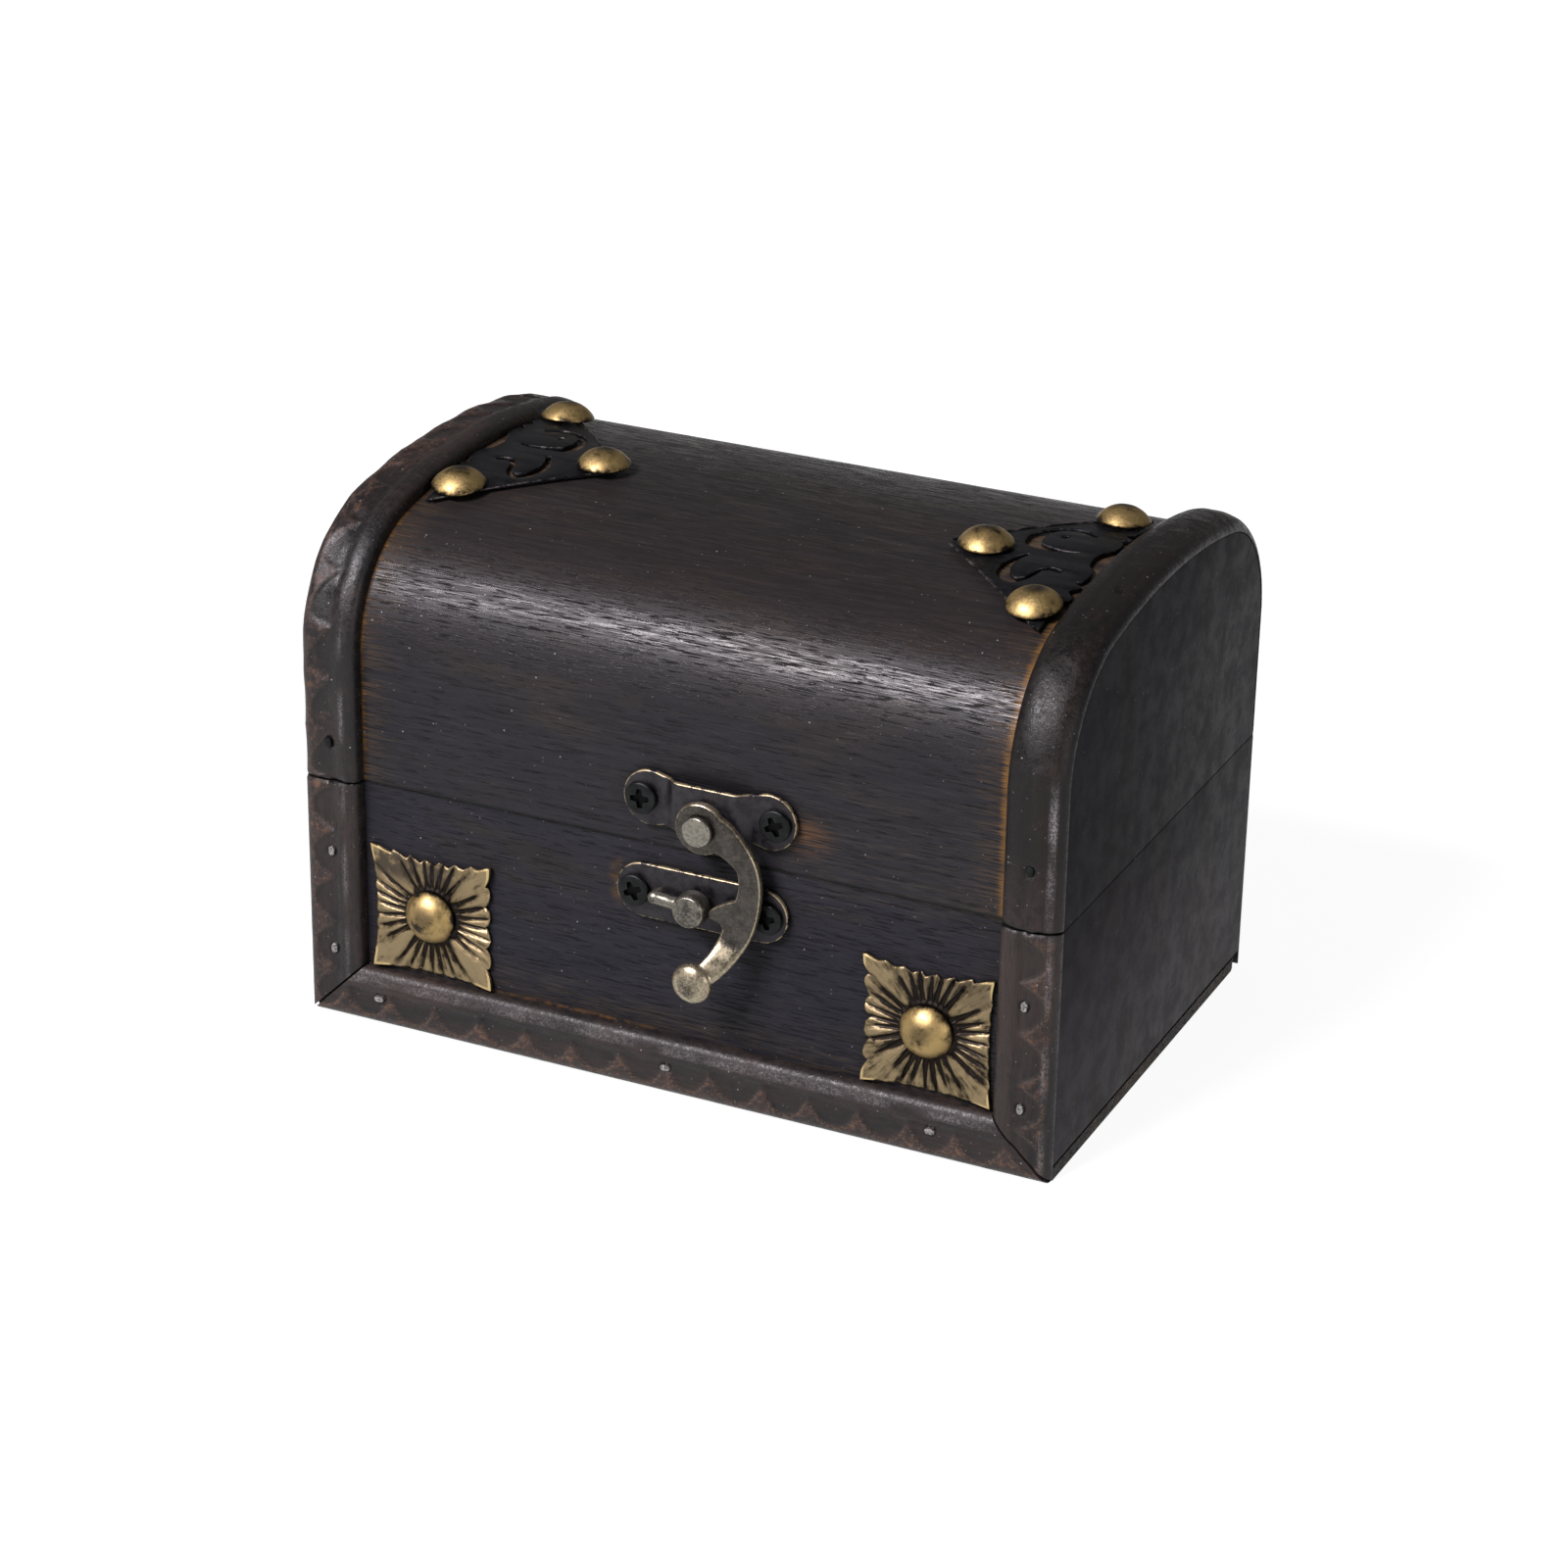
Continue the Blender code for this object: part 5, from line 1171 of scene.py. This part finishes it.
def make_hook(material):
    """The swing hook: a flat arm with softly worn edges, a round eye, a spur and a thumb ball."""
    scales = (HOOK_DROP, HOOK_DROP, HOOK_DROP, HOOK_FLARE)
    route = smooth_route([[v * s for v, s in zip(point, scales)] for point in HOOK_ROUTE_SHARES], 8)
    rings = []
    for point, side in zip(route, side_steps(route)):
        ring = []
        power = 0.42 + 0.40 * point[3] / HOOK_FLARE
        for i in range(24):
            turn = math.tau * i / 24
            across = math.copysign(abs(math.cos(turn)) ** power, math.cos(turn)) * point[2]
            out = math.copysign(abs(math.sin(turn)) ** power, math.sin(turn)) * 0.75 * MM
            ring.append(Vector((point[0], point[1], point[3] + out)) + side.to_3d() * across)
        rings.append(ring)
    arm = skin(rings)[0]
    bmesh.ops.recalc_face_normals(arm, faces=arm.faces)
    eye = turned(in_mm(EYE_PROFILE), 48)
    spur = smooth_route([(x * HOOK_DROP, z * HOOK_DROP) for x, z in SPUR_SHARES], 4)
    spur = prism([tuple(point) for point in spur], 1.3 * MM, Matrix.Translation((0, 0, -0.65 * MM)))
    turns = [math.pi * (i / 24 - 0.5) for i in range(25)]
    end = Matrix.Translation((route[-1][0], route[-1][1], HOOK_FLARE))
    ball = turned([(3.1 * MM * math.cos(t), 1.7 * MM * math.sin(t)) for t in turns], 40, end)
    bm = without(cast([arm, eye, spur, ball], 0.16 * MM, 5), turned(in_mm(BORE_PROFILE), 32))
    bm.normal_update()

    def rim(vert):
        edge = step_between(vert.normal.z, 0.985, 0.78) if vert.normal.z > -0.3 else 0.2
        low = step_between(vert.co.y, -11 * MM, -23 * MM)
        return min(1.0, edge * 0.9 + 0.52 * low)

    store(bm, "rim", rim)
    place = on_front(PIVOT_X, PIVOT_Z, HOOK_MIDDLE)
    shape("cast_swing_hook", bm, material, "latch_hook", "bronze", "swing_hook", place=place, angle=60)


def make_catch(material):
    """A D-shaped knob on a slanted rod."""
    beyond = [(x * MM, y * MM) for x, y in ((CATCH_FLAT / MM, -4), (6, -4), (6, 4), (CATCH_FLAT / MM, 4))]
    knob = without(turned(in_mm(KNOB_PROFILE), 48), prism(beyond, 8 * MM))
    start = Vector((ROD_FOOT_X - CATCH_X, 0, 2.4 * MM))
    slant = Vector((0, 0, 3.44 * MM)) - start
    aim = Matrix.Translation(start) @ slant.to_track_quat("Z", "Y").to_matrix().to_4x4()
    long = slant.length / MM
    rod = turned(in_mm(((0, -0.2), (0.9, -0.2), (1.0, 0), (1.0, long), (0, long))), 32, aim)
    foot = turned(in_mm(ROD_FOOT_PROFILE), 32, Matrix.Translation((start.x, 0, 0)))
    bm = cast([knob, rod, foot], 0.13 * MM, 4)
    roughen(bm, 1.1 * MM, 0.07 * MM, 7.0)
    bm.normal_update()
    store(bm, "rim", lambda v: 0.50 + 0.50 * step_between(v.normal.z, 0.985, 0.85))
    shape("catch_knob", bm, material, "base", "worn", "catch_post", place=on_front(CATCH_X, CATCH_Z), angle=60)


def dress_nodes(looks):
    """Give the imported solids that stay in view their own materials."""
    for name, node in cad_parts.items():
        if "screw" in name:
            material = looks["screw"]
        elif "hinge" in name:
            material = looks["hinge"]
        elif name == "bottom_board":
            material = looks["bottom"]
        else:
            continue
        for slot in node.material_slots:
            slot.material = material


# Stage

WHITE = (1, 1, 1, 1)
FLOOR_HALF = 4.0
FLOOR_DROP = 0.2 * MM
LIGHT_TINT = (1.0, 0.94, 0.99)
LIGHTS = (
    ("overhead_softbox", (-0.33, -0.70, 0.80), (0, -0.02, 0.06), (0.46, 0.15), 26.0),
    ("front_softbox", (-0.30, -1.05, 0.45), (0, 0, 0.04), (0.5, 0.5), 2.5),
    ("side_softbox", (1.00, -0.50, 0.30), (0, 0, 0.04), (0.3, 0.3), 3.0),
)

# The camera that was solved from the photo
CAMERA_YAW, CAMERA_PITCH, CAMERA_ROLL = 0.436453, 0.420625, 0.017392
CAMERA_PLACE = (242.33 * MM, -520.90 * MM, 290.54 * MM)
FOCAL_PIXELS = 4263.0
PHOTO_PIXELS = 1600
SENSOR_WIDTH = 36.0


def make_stage():
    scene = bpy.context.scene
    world = bpy.data.worlds.new("studio")
    world.use_nodes = True
    world.node_tree.nodes["Background"].inputs["Color"].default_value = WHITE
    world.node_tree.nodes["Background"].inputs["Strength"].default_value = 0.20
    scene.world = world
    look = Look("studio_floor", 0.9, specular=0.1)
    look.colour = look.mix(look.noise(look.place((3, 3, 3)), 2.0), (0.15, 0.15, 0.15), (0.17, 0.17, 0.17))
    look.shader.inputs["Emission Color"].default_value = WHITE
    look.shader.inputs["Emission Strength"].default_value = 0.92
    bm = bmesh.new()
    corners = ((-1, -1), (1, -1), (1, 1), (-1, 1))
    bm.faces.new([bm.verts.new((x * FLOOR_HALF, y * FLOOR_HALF, -FLOOR_DROP)) for x, y in corners])
    mesh = mesh_of("studio_floor", bm)
    mesh.materials.append(look.finish())
    linked("studio_floor", mesh)
    for name, place, aim, size, power in LIGHTS:
        light = bpy.data.lights.new(name, "AREA")
        light.shape = "RECTANGLE"
        light.size, light.size_y = size
        light.energy = power
        light.color = LIGHT_TINT
        made = linked(name, light)
        made.location = place
        made.rotation_euler = (Vector(aim) - Vector(place)).to_track_quat("-Z", "Y").to_euler()
    scene.view_settings.view_transform = "Standard"
    scene.view_settings.look = "None"


def make_camera():
    yaw, pitch, roll = CAMERA_YAW, CAMERA_PITCH, CAMERA_ROLL
    forward = Vector((-math.sin(yaw) * math.cos(pitch), math.cos(yaw) * math.cos(pitch), -math.sin(pitch)))
    level = Vector((math.cos(yaw), math.sin(yaw), 0))
    above = level.cross(forward)
    right = math.cos(roll) * level + math.sin(roll) * above
    up = -math.sin(roll) * level + math.cos(roll) * above
    lens = bpy.data.cameras.new("photo_camera")
    lens.sensor_width = SENSOR_WIDTH
    lens.lens = FOCAL_PIXELS / PHOTO_PIXELS * SENSOR_WIDTH
    lens.clip_start = 0.01
    camera = linked("photo_camera", lens)
    camera.matrix_world = Matrix.Translation(CAMERA_PLACE) @ Matrix((right, up, -forward)).transposed().to_4x4()
    bpy.context.scene.camera = camera


def make_looks():
    moulding, rimmed = make_moulding_look, make_rimmed_look
    return {
        "shell": make_shell_look(),
        "front": make_front_look(),
        "end": make_end_look(),
        "bottom": make_bottom_look(),
        "moulding": moulding("base_moulding_stain_painted_shade_and_highlight", (0.0074, 0.0064, 0.0066), (0.0160, 0.0114, 0.0100), 0.22),
        "left_arch": moulding("left_arch_stain_painted_shade_and_highlight", (0.0054, 0.0047, 0.0049), (0.0135, 0.0096, 0.0086), 0.24),
        "right_arch": moulding("right_arch_stain_painted_shade_and_highlight", (0.0030, 0.0026, 0.0028), (0.0056, 0.0042, 0.0038), 0.18, 0.6),
        "plate": make_brass_look(
            "stamped_antique_brass_aged", (0.028, 0.021, 0.012), (0.215, 0.166, 0.092),
            0.04, 0.32, 1.8, 2.2, (0.32, 0.56),
        ),
        "tack": make_brass_look(
            "domed_antique_brass_aged", (0.045, 0.033, 0.014), (0.315, 0.225, 0.094),
            0.10, 0.46, 2.4, 0.0, (0.36, 0.56),
        ),
        "black": rimmed("black_lacquer_worn", (0.013, 0.013, 0.0155), (0.16, 0.145, 0.13), 0.9, broken=0.4),
        "bronze": rimmed("gunmetal_worn", (0.026, 0.0245, 0.027), (0.31, 0.25, 0.155), broken=0.25),
        "hook": rimmed(
            "cast_bronze_worn", (0.050, 0.046, 0.040), (0.30, 0.26, 0.18), 1.0, 0.5, (0.22, 0.42), 0.7
        ),
        "worn": rimmed(
            "polished_worn_metal", (0.042, 0.040, 0.036), (0.190, 0.180, 0.150), 1.0, 0.5, (0.20, 0.38), 0.7
        ),
        "screw": rimmed("blackened_screw_aged", (0.011, 0.012, 0.012), (0.06, 0.06, 0.056)),
        "hinge": make_metal_look(
            "aged_hinge_brass", 0.35, 0.95, (2.0 * MM, 5.0, 0.65), (0.35, 0.68),
            (0.10, 0.074, 0.034), (0.31, 0.235, 0.11), 0.2, 0.1 * MM,
        ),
        "brad": make_metal_look(
            "dull_brad_steel", 0.4, 0.9, (0.3 * MM, 4.0, 0.7), (0.38, 0.62),
            (0.050, 0.047, 0.046), (0.34, 0.325, 0.315), 0.3, 0.05 * MM,
        ),
    }


def main():
    looks = make_looks()
    make_shell(looks["shell"])
    for side, name in SIDES:
        make_lid_end(f"lid_{name}_end_board", side, looks["end"], f"lid_{name}_end")
    make_base_boards(looks)
    make_mouldings(looks)
    make_brads(looks)
    for side, name in SIDES:
        place = make_corner_plate(f"sunburst_{name}_plate", side, looks["plate"], f"{name}_corner_plate")
        node = f"{name}_plate_tack"
        make_tack("domed_" + node, place, looks["tack"], "base", node, 3.0 + side, 0.55)
        places = make_bracket(f"pierced_{name}_bracket", side, looks["black"], f"{name}_filigree_bracket")
        for count, (corner, place) in enumerate(places.items()):
            node = f"{name}_bracket_{corner}_tack"
            make_tack("domed_" + node, place, looks["tack"], "lid", node, 20.0 + 3 * count + side, 0.9)
        x = side * SCREW_SPACING / 2
        place = on_front(PIVOT_X + x, UPPER_STRIP_Z, SCREW_SEAT)
        make_screw(f"upper_{name}_crosshead", place, 0.25 + side * 0.2, looks["screw"], "lid", f"latch_{name}_screw")
        place = on_front(CATCH_STRIP_X + x, CATCH_Z, SCREW_SEAT)
        make_screw(f"lower_{name}_crosshead", place, 0.35 - side * 0.1, looks["screw"], "base", f"catch_{name}_screw")
    place = on_front(PIVOT_X, UPPER_STRIP_Z, SEAT_GAP)
    make_strip("bridged_latch_plate", place, looks["bronze"], "lid", "latch_plate", 0.55 * MM, 1.3 * MM, 0.22)
    place = on_front(CATCH_STRIP_X, CATCH_Z, SEAT_GAP)
    make_strip("flat_catch_plate", place, looks["bronze"], "base", "catch_plate")
    make_rivet(looks["worn"])
    make_hook(looks["hook"])
    make_catch(looks["worn"])
    dress_nodes(looks)
    make_stage()
    make_camera()


main()
